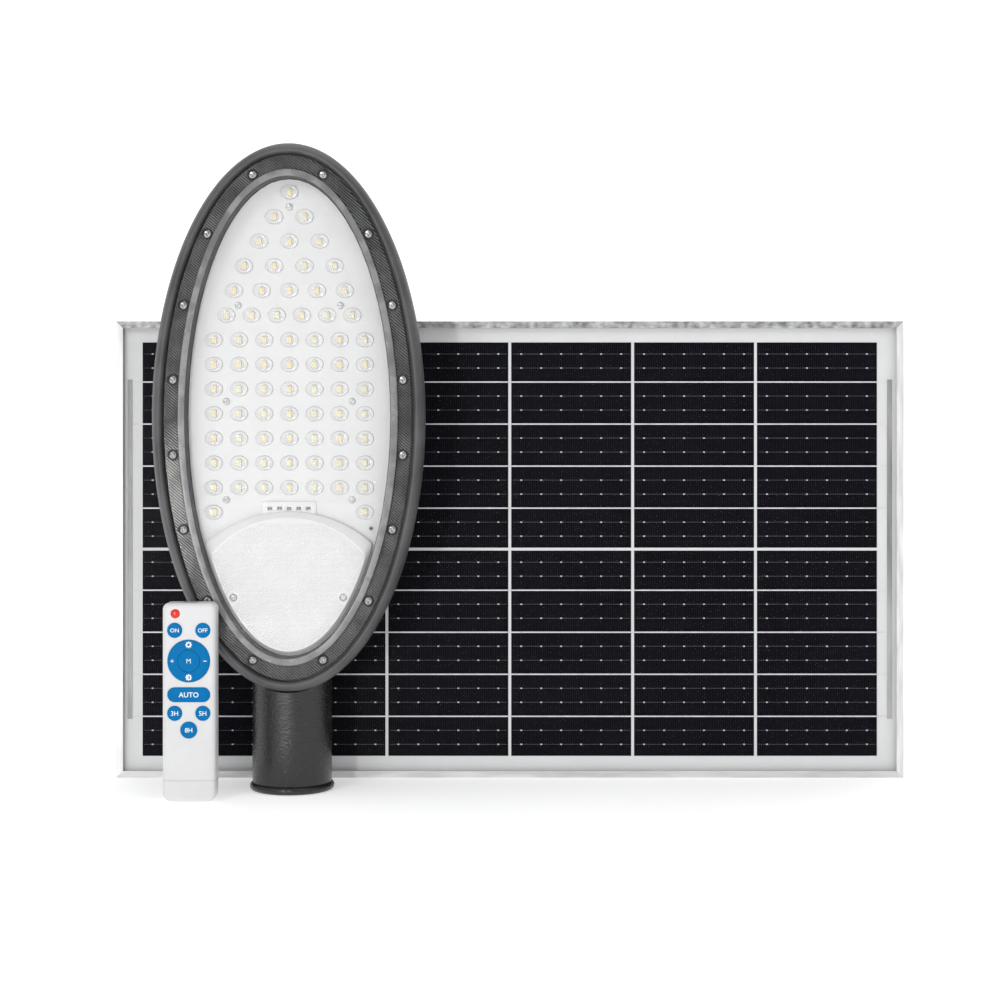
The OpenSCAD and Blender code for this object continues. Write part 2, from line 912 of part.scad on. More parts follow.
module corner_keys() {
    inner = frame_wall + key_play;
    outer = box_w - frame_wall - key_play;
    y0 = d_shelf + lip_t + key_play;
    y1 = frame_depth - lip_t - key_play;
    color("darkgray")
        at_panel()
            for (x = [0, 1])
                for (z = [0, 1])
                    translate([(x - 0.5) * panel_w, 0, z * panel_h])
                        mirror([x, 0, 0])
                            mirror([0, 0, z]) {
                                box(inner, inner + key_leg, y0, y1, inner, outer);
                                box(inner, outer, y0, y1, inner, inner + key_leg);
                            }
}

// A plate across the panel, inset from its outer edges
module panel_plate(inset, d0, d1) {
    box(-panel_w / 2 + inset, panel_w / 2 - inset, d0, d1, inset, panel_h - inset);
}

module panel_glass() {
    color([0.8, 0.88, 0.92, 0.35])
        at_panel()
            panel_plate(glass_in, d_glass, d_ribbon);
}

module back_sheet() {
    color("white")
        at_panel()
            panel_plate(glass_in, d_sheet, d_back);
}

module edge_seal() {
    color("black")
        at_panel()
            difference() {
                panel_plate(frame_wall, lip_t, d_shelf);
                panel_plate(glass_in, d_glass, d_back);
                panel_plate(lip_w - 0.5, lip_t - 1, d_shelf + 1);
            }
}

function solar_x(column) = -cells_w / 2 + column * (solar_w + solar_gap);
function solar_z(row) = border_z + lip_w + row * (solar_h + solar_gap);

module solar_cells() {
    color([0.04, 0.04, 0.08])
        at_panel()
            for (column = [0 : solar_columns - 1])
                for (row = [0 : solar_rows - 1])
                    box(solar_x(column), solar_x(column) + solar_w, d_wafer, d_sheet,
                        solar_z(row), solar_z(row) + solar_h);
}

ribbons_per_cell = 4;
ribbon_pitch = 34;
ribbon_w = 1;
end_ribbon_w = 4;
end_ribbon_gap = 8.2;

function ribbon_z(row, k) =
    solar_z(row) + solar_h / 2 + (k - (ribbons_per_cell + 1) / 2) * ribbon_pitch;

module cell_ribbons() {
    reach = cells_w / 2 + end_ribbon_gap;
    color("silver")
        at_panel()
            for (row = [0 : solar_rows - 1])
                for (k = [1 : ribbons_per_cell])
                    box(-reach, reach, d_ribbon, d_wafer, ribbon_z(row, k) - ribbon_w / 2,
                        ribbon_z(row, k) + ribbon_w / 2);
}

module end_ribbons() {
    near = cells_w / 2 + end_ribbon_gap;
    color("gray")
        at_panel()
            for (side = [-1, 1])
                translate([side * (near + end_ribbon_w / 2), 0, 0])
                    box(-end_ribbon_w / 2, end_ribbon_w / 2, d_ribbon, d_wafer, ribbon_z(0, 1) - 2,
                        ribbon_z(solar_rows - 1, ribbons_per_cell) + 2);
}

junction = [90, 17, 62];     // across, deep, high
junction_z = panel_h - flange_rear - 16 - junction[2];
junction_wall = 2;
lid_t = 2;
d_junction = d_back + junction[1];
junction_screw = [junction[0] / 2 - 5, junction[2] / 2 - 5];

module junction_posts(r, d0, d1) {
    for (x = [-1, 1])
        for (z = [-1, 1])
            rod_y(x * junction_screw[0], junction_z + junction[2] / 2 + z * junction_screw[1],
                r, d0, d1);
}

module junction_box() {
    color("black")
        at_panel()
            difference() {
                union() {
                    difference() {
                        box(-junction[0] / 2, junction[0] / 2, d_back, d_junction - lid_t,
                            junction_z, junction_z + junction[2]);
                        box(-junction[0] / 2 + junction_wall, junction[0] / 2 - junction_wall,
                            d_back + junction_wall, d_junction, junction_z + junction_wall,
                            junction_z + junction[2] - junction_wall);
                    }
                    junction_posts(4, d_back + 1, d_junction - lid_t);
                }
                junction_posts(m3[0] + seat, d_junction - 10, d_junction);
                translate([0, (d_back + d_junction) / 2, junction_z - 1])
                    cylinder(r = gland_thread_r + seat, h = junction_wall + 2, $fn = round);
            }
}

module junction_lid() {
    color("black")
        at_panel()
            difference() {
                box(-junction[0] / 2, junction[0] / 2, d_junction - lid_t, d_junction,
                    junction_z, junction_z + junction[2]);
                junction_posts(m3[0] + 2 * seat, d_junction - lid_t - 1, d_junction + 1);
            }
}

module junction_lid_screws() {
    color("silver")
        at_panel()
            mirror([0, 1, 0])
                for (x = [-1, 1])
                    for (z = [-1, 1])
                        screw_y(x * junction_screw[0], -d_junction,
                            junction_z + junction[2] / 2 + z * junction_screw[1], m3, lid_t + 6);
}

module bypass_diodes() {
    color("dimgray")
        at_panel()
            for (x = [-22, 14])
                box(x, x + 8, d_back + junction_wall, d_back + junction_wall + 6,
                    junction_z + 24, junction_z + 44);
}

module at_junction_gland() {
    at_panel()
        translate([0, (d_back + d_junction) / 2, junction_z])
            children();
}

//---------------------------------------------------------------- remote control

remote_y1 = y_rim - remote_ahead;
remote_y0 = remote_y1 - remote_t;
shell_t = 1.6;
split_y = remote_y0 + 9.5;   // parting plane of the two shells
corner_r = 5;
cap_corner_r = 6.5;
aaa_r = 5.25;
aaa_len = 44.5;
aaa_z = 5;
aaa_y = remote_y1 - 2.3 - aaa_r;
// Battery chamber: half width, front, back, low, high
tunnel = [13.2, aaa_y - aaa_r - 1.45, aaa_y + aaa_r + 0.45, 3, 51];
tunnel_wall = 1.2;
y_keys = remote_y0 + shell_t;
y_mat = remote_y0 + 3.8;
mat_t = 0.8;
y_pcb = y_mat + mat_t;
pcb_t = 1.2;
seam = 0.2;

// Places of the keys, measured down from the remote's top
red_place = [-10.2, remote_h - 8];
on_place = [-10.6, remote_h - 20.5];
off_place = [10.6, remote_h - 20.5];
nav_place = [0, remote_h - 43.6];
auto_place = [0, remote_h - 69];
three_place = [-10.6, remote_h - 83];
five_place = [10.6, remote_h - 83];
eight_place = [0, remote_h - 95.6];
auto_size = [32.2, 11];
red_r = 3.4;
eight_r = 6.3;
mode_r = 8.3;

module at_remote() {
    translate([remote_across, 0, 0])
        children();
}

// Outline with round upper corners only, from z0 up to the remote's top, inset all round
module remote_outline(z0, inset) {
    w = remote_w - 2 * inset;
    h = remote_h - inset;
    r = corner_r - inset / 2;
    translate([-w / 2, z0])
        square([w, h - r - z0]);
    translate([-w / 2 + r, z0])
        square([w - 2 * r, h - z0]);
    for (x = [-w / 2 + r, w / 2 - r])
        translate([x, h - r])
            circle(r = r, $fn = fine);
}

module battery_cap() {
    color("whitesmoke")
        at_remote()
            difference() {
                along_y(remote_y0, remote_y1) {
                    translate([-remote_w / 2, cap_corner_r])
                        square([remote_w, cap_h - cap_corner_r]);
                    translate([-remote_w / 2 + cap_corner_r, 0])
                        square([remote_w - 2 * cap_corner_r, cap_h]);
                    for (x = [-1, 1])
                        translate([x * (remote_w / 2 - cap_corner_r), cap_corner_r])
                            circle(r = cap_corner_r, $fn = fine);
                }
                box(-tunnel[0] - 0.3, tunnel[0] + 0.3, tunnel[1] - 0.3, tunnel[2] + 0.3,
                    tunnel[3] - 1, cap_h + 1);
            }
}

module cap_contact() {
    color("silver")
        at_remote()
            box(-10, 10, aaa_y - 3, aaa_y + 3, tunnel[3] - 1, tunnel[3] - 0.4);
}

module remote_front() {
    z0 = cap_h + seam;
    color("whitesmoke")
        at_remote()
            difference() {
                along_y(remote_y0, split_y)
                    remote_outline(z0, 0);
                along_y(y_keys, split_y + 1)
                    remote_outline(z0 + shell_t, shell_t);
                box(-tunnel[0] - 0.2, tunnel[0] + 0.2, tunnel[1] - 0.2, split_y + 1, z0 - 1,
                    z0 + shell_t + 1);
                for (p = [on_place, off_place, three_place, five_place])
                    rod_y(p[0], p[1], key_r + key_gap, remote_y0 - 1, y_keys + 1);
                rod_y(red_place[0], red_place[1], red_r + key_gap, remote_y0 - 1, y_keys + 1);
                rod_y(eight_place[0], eight_place[1], eight_r + key_gap, remote_y0 - 1, y_keys + 1);
                rod_y(nav_place[0], nav_place[1], ring_r + key_gap, remote_y0 - 1, y_keys + 1, fine);
                along_y(remote_y0 - 1, y_keys + 1)
                    auto_outline(key_gap);
                window_cut();
            }
}

module auto_outline(grow) {
    h = auto_size[1] + 2 * grow;
    translate(auto_place)
        square([auto_size[0] - auto_size[1], h], center = true);
    for (x = [-1, 1])
        translate([auto_place[0] + x * (auto_size[0] - auto_size[1]) / 2, auto_place[1]])
            circle(r = h / 2, $fn = fine);
}

window_w = 12;
window_y = [split_y - 2.5, split_y + 2.5];

module window_cut() {
    box(-window_w / 2, window_w / 2, window_y[0], window_y[1], remote_h - shell_t - 1, remote_h + 1);
}

module ir_window() {
    color([0.15, 0.05, 0.08])
        at_remote()
            box(-window_w / 2 + 0.1, window_w / 2 - 0.1, window_y[0] + 0.1, window_y[1] - 0.1,
                remote_h - shell_t, remote_h);
}

module ir_emitter() {
    color([0.2, 0.2, 0.35])
        at_remote()
            translate([0, split_y, remote_h - shell_t - 7])
                cylinder(r = 2.4, h = 6.7, $fn = round);
}

module remote_back() {
    z0 = cap_h + seam;
    color("whitesmoke")
        at_remote()
            difference() {
                union() {
                    difference() {
                        along_y(split_y, remote_y1)
                            remote_outline(z0, 0);
                        along_y(split_y - 1, remote_y1 - shell_t)
                            remote_outline(z0 + shell_t, shell_t);
                    }
                    box(-tunnel[0], tunnel[0], tunnel[1], tunnel[2], tunnel[3], tunnel[4]);
                    box(-tunnel[0], tunnel[0], tunnel[2] - 1, remote_y1 - shell_t + 0.5, z0 + 1,
                        tunnel[4]);
                }
                box(-tunnel[0] + tunnel_wall, tunnel[0] - tunnel_wall, tunnel[1] + tunnel_wall,
                    tunnel[2] - 0.2, tunnel[3] - 1, tunnel[4] + 1);
                window_cut();
            }
}

module remote_batteries() {
    color("goldenrod")
        at_remote()
            for (x = [-1, 1])
                translate([x * (aaa_r + 0.2), aaa_y, aaa_z])
                    cylinder(r = aaa_r, h = aaa_len - 0.5, $fn = round);
}

module battery_springs() {
    color("silver")
        at_remote()
            for (x = [-1, 1])
                translate([x * (aaa_r + 0.2), aaa_y, aaa_z + aaa_len - 0.3])
                    cylinder(r1 = 2, r2 = 3.5, h = 1.6, $fn = round);
}

module remote_board() {
    color("darkgreen")
        at_remote()
            box(-remote_w / 2 + 3, remote_w / 2 - 3, y_pcb, y_pcb + pcb_t, tunnel[4] + 0.3,
                remote_h - 4);
}

module key_mat() {
    color("lightsteelblue")
        at_remote()
            box(-remote_w / 2 + 3, remote_w / 2 - 3, y_mat, y_pcb, tunnel[4] - 1.5, remote_h - 3.5);
}

// A round key with the flange that keeps it in
module round_key(place, r, paint) {
    color(paint)
        at_remote() {
            rod_y(place[0], place[1], r, remote_y0 - key_out, y_keys + 0.9);
            rod_y(place[0], place[1], r + 0.8, y_keys + 0.3, y_keys + 0.9);
        }
}

module key_auto() {
    color("royalblue")
        at_remote() {
            along_y(remote_y0 - key_out, y_keys + 0.9)
                auto_outline(0);
            along_y(y_keys + 0.3, y_keys + 0.9)
                auto_outline(0.8);
        }
}

ring_gap = 0.4;

module nav_ring() {
    color("royalblue")
        at_remote()
            difference() {
                union() {
                    rod_y(nav_place[0], nav_place[1], ring_r - 0.1, remote_y0 - key_out, y_keys + 1.1,
                        fine);
                    rod_y(nav_place[0], nav_place[1], ring_r + 0.8, y_keys + 0.7, y_keys + 1.1, fine);
                }
                rod_y(nav_place[0], nav_place[1], mode_r + ring_gap, remote_y0 - 5, y_keys + 5, fine);
            }
}

module nav_pad() {
    color("lightsteelblue")
        at_remote()
            difference() {
                rod_y(nav_place[0], nav_place[1], mode_r + 2.2, y_keys + 1.5, y_keys + 1.8, fine);
                rod_y(nav_place[0], nav_place[1], mode_r + 0.7, y_keys, y_keys + 3, fine);
            }
}

module key_mode() {
    color("royalblue")
        at_remote() {
            rod_y(nav_place[0], nav_place[1], mode_r, remote_y0 - key_out, y_keys + 0.9, fine);
            rod_y(nav_place[0], nav_place[1], 5, y_keys + 0.8, y_keys + 1.4);
        }
}

//---------------------------------------------------------------- nodes

rear_housing();
pole_sleeve();
neck_screws();
clamp_screw(clamp_heights[0]);  // clamp_screw_lower
clamp_screw(clamp_heights[1]);  // clamp_screw_upper
cover_gasket();
clear_cover();
cover_screws();
led_board();
led_chips();
led_lenses();
board_screws();
driver_cover();
driver_cover_screws();
charge_leds();
remote_receiver();
battery_cells();
battery_tray();
battery_links();
controller_board();
controller_parts();
at_lamp_gland() gland_body(14);  // lamp_gland
at_lamp_gland() gland_cap();  // lamp_gland_nut
frame_top();
frame_bottom();
frame_side(-1);  // frame_left
frame_side(1);  // frame_right
corner_keys();
panel_glass();
solar_cells();
cell_ribbons();
end_ribbons();
back_sheet();
edge_seal();
junction_box();
junction_lid();
junction_lid_screws();
bypass_diodes();
at_junction_gland() gland_body(junction_wall + 3);  // panel_gland
at_junction_gland() gland_cap();  // panel_gland_nut
battery_cap();
cap_contact();
remote_front();
remote_back();
remote_board();
key_mat();
remote_batteries();
battery_springs();
ir_window();
ir_emitter();
round_key(red_place, red_r, "red");  // key_red
round_key(on_place, key_r, "royalblue");  // key_on
round_key(off_place, key_r, "royalblue");  // key_off
nav_pad();
nav_ring();
key_mode();
key_auto();
round_key(three_place, key_r, "royalblue");  // key_3h
round_key(five_place, key_r, "royalblue");  // key_5h
round_key(eight_place, eight_r, "royalblue");  // key_8h
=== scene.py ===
import math
import bmesh
import bpy
import numpy as np
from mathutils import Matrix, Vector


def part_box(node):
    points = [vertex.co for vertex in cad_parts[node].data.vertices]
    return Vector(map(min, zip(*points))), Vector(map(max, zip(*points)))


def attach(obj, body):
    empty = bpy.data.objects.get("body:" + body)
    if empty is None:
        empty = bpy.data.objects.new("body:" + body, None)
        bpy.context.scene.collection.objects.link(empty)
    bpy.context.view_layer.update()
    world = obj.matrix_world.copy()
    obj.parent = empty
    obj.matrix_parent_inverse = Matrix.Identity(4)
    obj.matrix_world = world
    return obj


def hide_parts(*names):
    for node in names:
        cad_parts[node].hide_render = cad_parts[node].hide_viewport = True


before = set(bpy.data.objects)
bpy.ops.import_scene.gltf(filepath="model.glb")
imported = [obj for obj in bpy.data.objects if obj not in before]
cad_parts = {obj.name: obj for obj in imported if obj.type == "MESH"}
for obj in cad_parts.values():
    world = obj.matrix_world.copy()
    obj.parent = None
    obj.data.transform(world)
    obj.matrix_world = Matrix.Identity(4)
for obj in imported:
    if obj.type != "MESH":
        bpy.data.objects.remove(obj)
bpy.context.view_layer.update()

# Shapes are worked out in millimetres and become metres when their mesh is made.
# A shape is (points, [faces, ...]); each faces array holds faces with one number of corners.


# surfaces

def nodeBox(node):
    low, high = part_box(node)
    return np.array(low) * 1000, np.array(high) * 1000


def gridFaces(rows, cols, wrapRows=False, wrapCols=False):
    # four neighbours of a rows x cols grid make one face
    i, j = np.meshgrid(np.arange(rows if wrapRows else rows - 1),
                       np.arange(cols if wrapCols else cols - 1), indexing="ij")
    nextRow, nextCol = (i + 1) % rows, (j + 1) % cols
    return np.stack([i * cols + j, i * cols + nextCol,
                     nextRow * cols + nextCol, nextRow * cols + j], -1).reshape(-1, 4)


def outward(shape):
    # six times the signed volume is the sum of p . (q x r) over the triangles; below zero means inside out
    points, faceSets = shape
    centred = points - points.mean(0)
    volume = 0.0
    for faces in faceSets:
        for k in range(1, faces.shape[1] - 1):
            p, q, r = (centred[faces[:, m]] for m in (0, k, k + 1))
            volume += np.einsum("ij,ij->", p, np.cross(q, r))
    return points, [f[:, ::-1] for f in faceSets] if volume < 0 else faceSets


def skin(rings, loop=False):
    # closed surface through rings[k, n]: the ends meet (loop) or are filled to their middle
    rings = np.asarray(rings, float)
    count, around = rings.shape[:2]
    points = rings.reshape(-1, 3)
    faceSets = [gridFaces(count, around, loop, True)]
    if not loop:
        points = np.concatenate([points, rings[:1].mean(1), rings[-1:].mean(1)])
        j = np.arange(around)
        nextOne, last = (j + 1) % around, (count - 1) * around
        faceSets.append(np.stack([nextOne, j, np.full(around, count * around)], -1))
        faceSets.append(np.stack([j + last, nextOne + last, np.full(around, count * around + 1)], -1))
    return outward((points, faceSets))


def turned(profile, axis="y", centre=(0, 0, 0), segments=48, loop=False):
    # (radius, place along the axis) carried round the axis: across = r cos t, up = r sin t
    profile = np.asarray(profile, float)
    t = np.linspace(0, 2 * np.pi, segments, endpoint=False)
    c, s, h = profile[:, :1] * np.cos(t), profile[:, :1] * np.sin(t), profile[:, 1:] + 0 * t
    rings = np.stack((c, h, s) if axis == "y" else (c, s, h), -1)
    return skin(rings + np.asarray(centre, float), loop)


def smoothLine(points, per=5):
    # Catmull-Rom: each stretch is a cubic through its two ends, sloped along their neighbours
    p = np.asarray(points, float)
    p = np.concatenate([2 * p[:1] - p[1:2], p, 2 * p[-1:] - p[-2:-1]])
    u = np.linspace(0, 1, per, endpoint=False)[:, None, None]
    a, b, c, d = p[:-3], p[1:-2], p[2:-1], p[3:]
    line = 0.5 * (2 * b + (c - a) * u + (2 * a - 5 * b + 4 * c - d) * u ** 2
                  + (3 * b - a - 3 * c + d) * u ** 3)
    return np.concatenate([line.transpose(1, 0, 2).reshape(-1, p.shape[1]), p[-2:-1]])


def rectRing(halfWide, halfHigh, corner, steps=6):
    # a quarter circle at each corner of a rectangle, joined by straight sides
    angle = (np.arange(4)[:, None] * np.pi / 2 + np.linspace(0, np.pi / 2, steps)).ravel()
    signs = np.repeat([[1, 1], [-1, 1], [-1, -1], [1, -1]], steps, axis=0)
    inner = np.array([halfWide - corner, halfHigh - corner])
    return signs * inner + corner * np.stack([np.cos(angle), np.sin(angle)], -1)


def roundBlock(low, high, corner, fillet, axis=1, steps=4, around=5):
    # rounded rectangles stacked along the axis, drawn in by fillet (1 - cos) towards both ends
    low, high = np.array(low, float), np.array(high, float)
    half, middle = (high - low) / 2, (high + low) / 2
    across = [k for k in (0, 1, 2) if k != axis]
    bend = np.radians(np.concatenate([np.linspace(-84, 0, steps), np.linspace(0, 84, steps)]))
    side = np.repeat([-1, 1], steps)
    rings = []
    for angle, sign in zip(bend, side):
        drawn = fillet * (1 - math.cos(angle))
        outline = rectRing(half[across[0]] - drawn, half[across[1]] - drawn,
                           max(corner - drawn, 0.05 * corner), around)
        ring = np.empty((len(outline), 3))
        ring[:, across] = outline
        ring[:, axis] = sign * (half[axis] - fillet) + fillet * math.sin(angle)
        rings.append(ring + middle)
    return skin(rings)


def repeat(shape, places):
    points, faceSets = shape
    places = np.asarray(places, float)
    shift = np.arange(len(places))[:, None, None] * len(points)
    return ((points[None] + places[:, None]).reshape(-1, 3),
            [(f[None] + shift).reshape(-1, f.shape[1]) for f in faceSets])


def newObject(name, shapes, scale=0.001):
    corners, sizes, start = [], [], 0
    for points, faceSets in shapes:
        for faces in faceSets:
            corners.append(faces.ravel() + start)
            sizes.append(np.full(len(faces), faces.shape[1]))
        start += len(points)
    points = np.concatenate([s[0] for s in shapes]) * scale
    corners, sizes = np.concatenate(corners), np.concatenate(sizes)
    mesh = bpy.data.meshes.new(name)
    mesh.vertices.add(len(points))
    mesh.vertices.foreach_set("co", points.astype(np.float32).ravel())
    mesh.loops.add(len(corners))
    mesh.loops.foreach_set("vertex_index", corners.astype(np.int32))
    mesh.polygons.add(len(sizes))
    mesh.polygons.foreach_set("loop_start", (np.cumsum(sizes) - sizes).astype(np.int32))
    mesh.update(calc_edges=True)
    mesh.validate()
    item = bpy.data.objects.new(name, mesh)
    bpy.context.scene.collection.objects.link(item)
    return item


def meshShape(mesh, scale=1000.0):
    points = np.empty(len(mesh.vertices) * 3, np.float32)
    mesh.vertices.foreach_get("co", points)
    corners = np.empty(len(mesh.loops), np.int32)
    mesh.loops.foreach_get("vertex_index", corners)
    starts, sizes = np.empty((2, len(mesh.polygons)), np.int32)
    mesh.polygons.foreach_get("loop_start", starts)
    mesh.polygons.foreach_get("loop_total", sizes)
    return (points.reshape(-1, 3).astype(float) * scale,
            [corners[starts[sizes == n][:, None] + np.arange(n)] for n in np.unique(sizes)])


def combine(base, joined=(), removed=()):
    # exact union of base with each joined shape, then each removed shape is cut away
    body = newObject("combineBase", [base])
    tools = []
    for operation, shapes in (("UNION", joined), ("DIFFERENCE", removed)):
        for shape in shapes:
            tool = newObject("combineTool", [shape])
            step = body.modifiers.new("combine", "BOOLEAN")
            step.operation, step.solver, step.object = operation, "EXACT", tool
            tools.append(tool)
    depsgraph = bpy.context.evaluated_depsgraph_get()
    depsgraph.update()
    mesh = bpy.data.meshes.new_from_object(body.evaluated_get(depsgraph))
    shape = meshShape(mesh)
    for item in [body] + tools:
        data = item.data
        bpy.data.objects.remove(item)
        bpy.data.meshes.remove(data)
    bpy.data.meshes.remove(mesh)
    return shape


def makePiece(name, shapes, paint, body, nodes=(), sharp=38):
    item = newObject(name, shapes)
    item.data.shade_smooth()
    item.data.set_sharp_from_angle(angle=math.radians(sharp))
    item.data.materials.append(finish[paint])
    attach(item, body)
    if nodes:
        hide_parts(*nodes)
    return item


# shared effects and materials

def addNode(tree, kind, inputs={}, **settings):
    # a new node; an input given a socket is linked to it, any other one is set
    node = tree.nodes.new("ShaderNode" + kind)
    for key, value in settings.items():
        setattr(node, key, value)
    for key, value in inputs.items():
        if isinstance(value, bpy.types.NodeSocket):
            tree.links.new(value, node.inputs[key])
        else:
            node.inputs[key].default_value = value
    return node


def makeGroup(name, inputs, build):
    # a shared effect: its inputs with their defaults, and the outputs that build returns
    group = bpy.data.node_groups.new(name, "ShaderNodeTree")
    for key, value in inputs.items():
        kind = {3: "Vector", 4: "Color"}[len(value)] if isinstance(value, tuple) else "Float"
        socket = group.interface.new_socket(name=key, in_out="INPUT", socket_type="NodeSocket" + kind)
        socket.default_value = value
    results = build(group, group.nodes.new("NodeGroupInput").outputs)
    for key, (kind, _) in results.items():
        group.interface.new_socket(name=key, in_out="OUTPUT", socket_type="NodeSocket" + kind)
    out = group.nodes.new("NodeGroupOutput")
    for key, (_, socket) in results.items():
        group.links.new(socket, out.inputs[key])
    return group


def grainSteps(group, given):
    # two tones mixed by broad noise, roughness by broad noise, height by fine noise
    broad = addNode(group, "TexNoise", {"Vector": given["Vector"], "Scale": given["Tone Scale"], "Detail": 5})
    fine = addNode(group, "TexNoise", {"Vector": given["Vector"], "Scale": given["Grain Scale"], "Detail": 3})
    spread = {"Value": broad.outputs["Fac"], "From Min": 0.32, "From Max": 0.68}
    share = addNode(group, "MapRange", spread)
    gloss = addNode(group, "MapRange", {**spread, "To Min": given["Smoothest"], "To Max": given["Roughest"]})
    mix = addNode(group, "Mix", {6: given["Tone A"], 7: given["Tone B"]}, data_type="RGBA")
    group.links.new(share.outputs["Result"], mix.inputs["Factor"])
    return {"Color": ("Color", mix.outputs[2]), "Roughness": ("Float", gloss.outputs["Result"]),
            "Height": ("Float", fine.outputs["Fac"])}


def stripeSteps(group, given):
    # 1 within a line's width, 0 between lines: |fract(along / pitch) - 0.5| against half the share
    value = given["Along"]
    for operation, other in (("DIVIDE", given["Pitch"]), ("FRACT", 0), ("SUBTRACT", 0.5), ("ABSOLUTE", 0)):
        value = addNode(group, "Math", {0: value, 1: other}, operation=operation).outputs[0]
    half = addNode(group, "Math", {0: given["Share"], 1: 0.5}, operation="MULTIPLY")
    inside = addNode(group, "Math", {0: value, 1: half.outputs[0]}, operation="LESS_THAN")
    return {"Mask": ("Float", inside.outputs[0])}


grainGroup = makeGroup("surfaceGrain", {
    "Vector": (0.0, 0.0, 0.0), "Tone A": (0.5, 0.5, 0.5, 1.0), "Tone B": (0.6, 0.6, 0.6, 1.0),
    "Tone Scale": 60.0, "Grain Scale": 900.0, "Smoothest": 0.3, "Roughest": 0.5}, grainSteps)
stripeGroup = makeGroup("fineLines", {"Along": 0.0, "Pitch": 0.001, "Share": 0.1}, stripeSteps)


def asColor(tone):
    # a grey is written as one number
    return (*tone, 1) if isinstance(tone, tuple) else (tone, tone, tone, 1)


def grainMaterial(name, toneA, toneB, toneScale, grainScale, rough, bump, strength, constants={},
                  stretch=(1, 1, 1)):
    # noise scales are per metre, bump is the height of the grain in millimetres
    material = bpy.data.materials.new(name)
    material.use_nodes = True
    tree = material.node_tree
    shader = tree.nodes["Principled BSDF"]
    place = addNode(tree, "TexCoord")
    turn = addNode(tree, "Mapping", {"Vector": place.outputs["Object"], "Scale": stretch})
    grain = addNode(tree, "Group", {
        "Vector": turn.outputs["Vector"], "Tone A": asColor(toneA), "Tone B": asColor(toneB),
        "Tone Scale": toneScale, "Grain Scale": grainScale, "Smoothest": rough[0], "Roughest": rough[1],
    }, node_tree=grainGroup)
    raised = addNode(tree, "Bump", {"Strength": strength, "Distance": bump / 1000,
                                    "Height": grain.outputs["Height"]})
    for key, socket in (("Base Color", grain.outputs["Color"]), ("Roughness", grain.outputs["Roughness"]),
                        ("Normal", raised.outputs["Normal"])):
        tree.links.new(socket, shader.inputs[key])
    for key, value in constants.items():
        shader.inputs[key].default_value = value
    return material


def clearMaterial(name, tint, ior, rough):
    # clear to the eye and open to light: shadow rays and diffuse bounces pass straight through
    material = grainMaterial(name, tint, tint, 14, 300, rough, 0.01, 0.1,
                             {"IOR": ior, "Transmission Weight": 1.0})
    tree = material.node_tree
    path = addNode(tree, "LightPath").outputs
    either = addNode(tree, "Math", {0: path["Is Shadow Ray"], 1: path["Is Diffuse Ray"]}, operation="MAXIMUM")
    opened = addNode(tree, "BsdfTransparent", {"Color": asColor(tint)})
    mix = addNode(tree, "MixShader", {0: either.outputs[0], 1: tree.nodes["Principled BSDF"].outputs[0],
                                      2: opened.outputs[0]})
    tree.links.new(mix.outputs[0], tree.nodes["Material Output"].inputs["Surface"])
    return material


def addLines(material, axis, pitch, share, color):
    # fine lines of another colour across the piece, a fixed distance apart along one axis
    tree = material.node_tree
    shader = tree.nodes["Principled BSDF"]
    split = addNode(tree, "SeparateXYZ", {0: addNode(tree, "TexCoord").outputs["Object"]})
    lines = addNode(tree, "Group", {"Along": split.outputs[axis], "Pitch": pitch, "Share": share},
                    node_tree=stripeGroup)
    before = shader.inputs["Base Color"].links[0].from_socket
    mix = addNode(tree, "Mix", {"Factor": lines.outputs["Mask"], 6: before, 7: asColor(color)},
                  data_type="RGBA")
    tree.links.new(mix.outputs[2], shader.inputs["Base Color"])


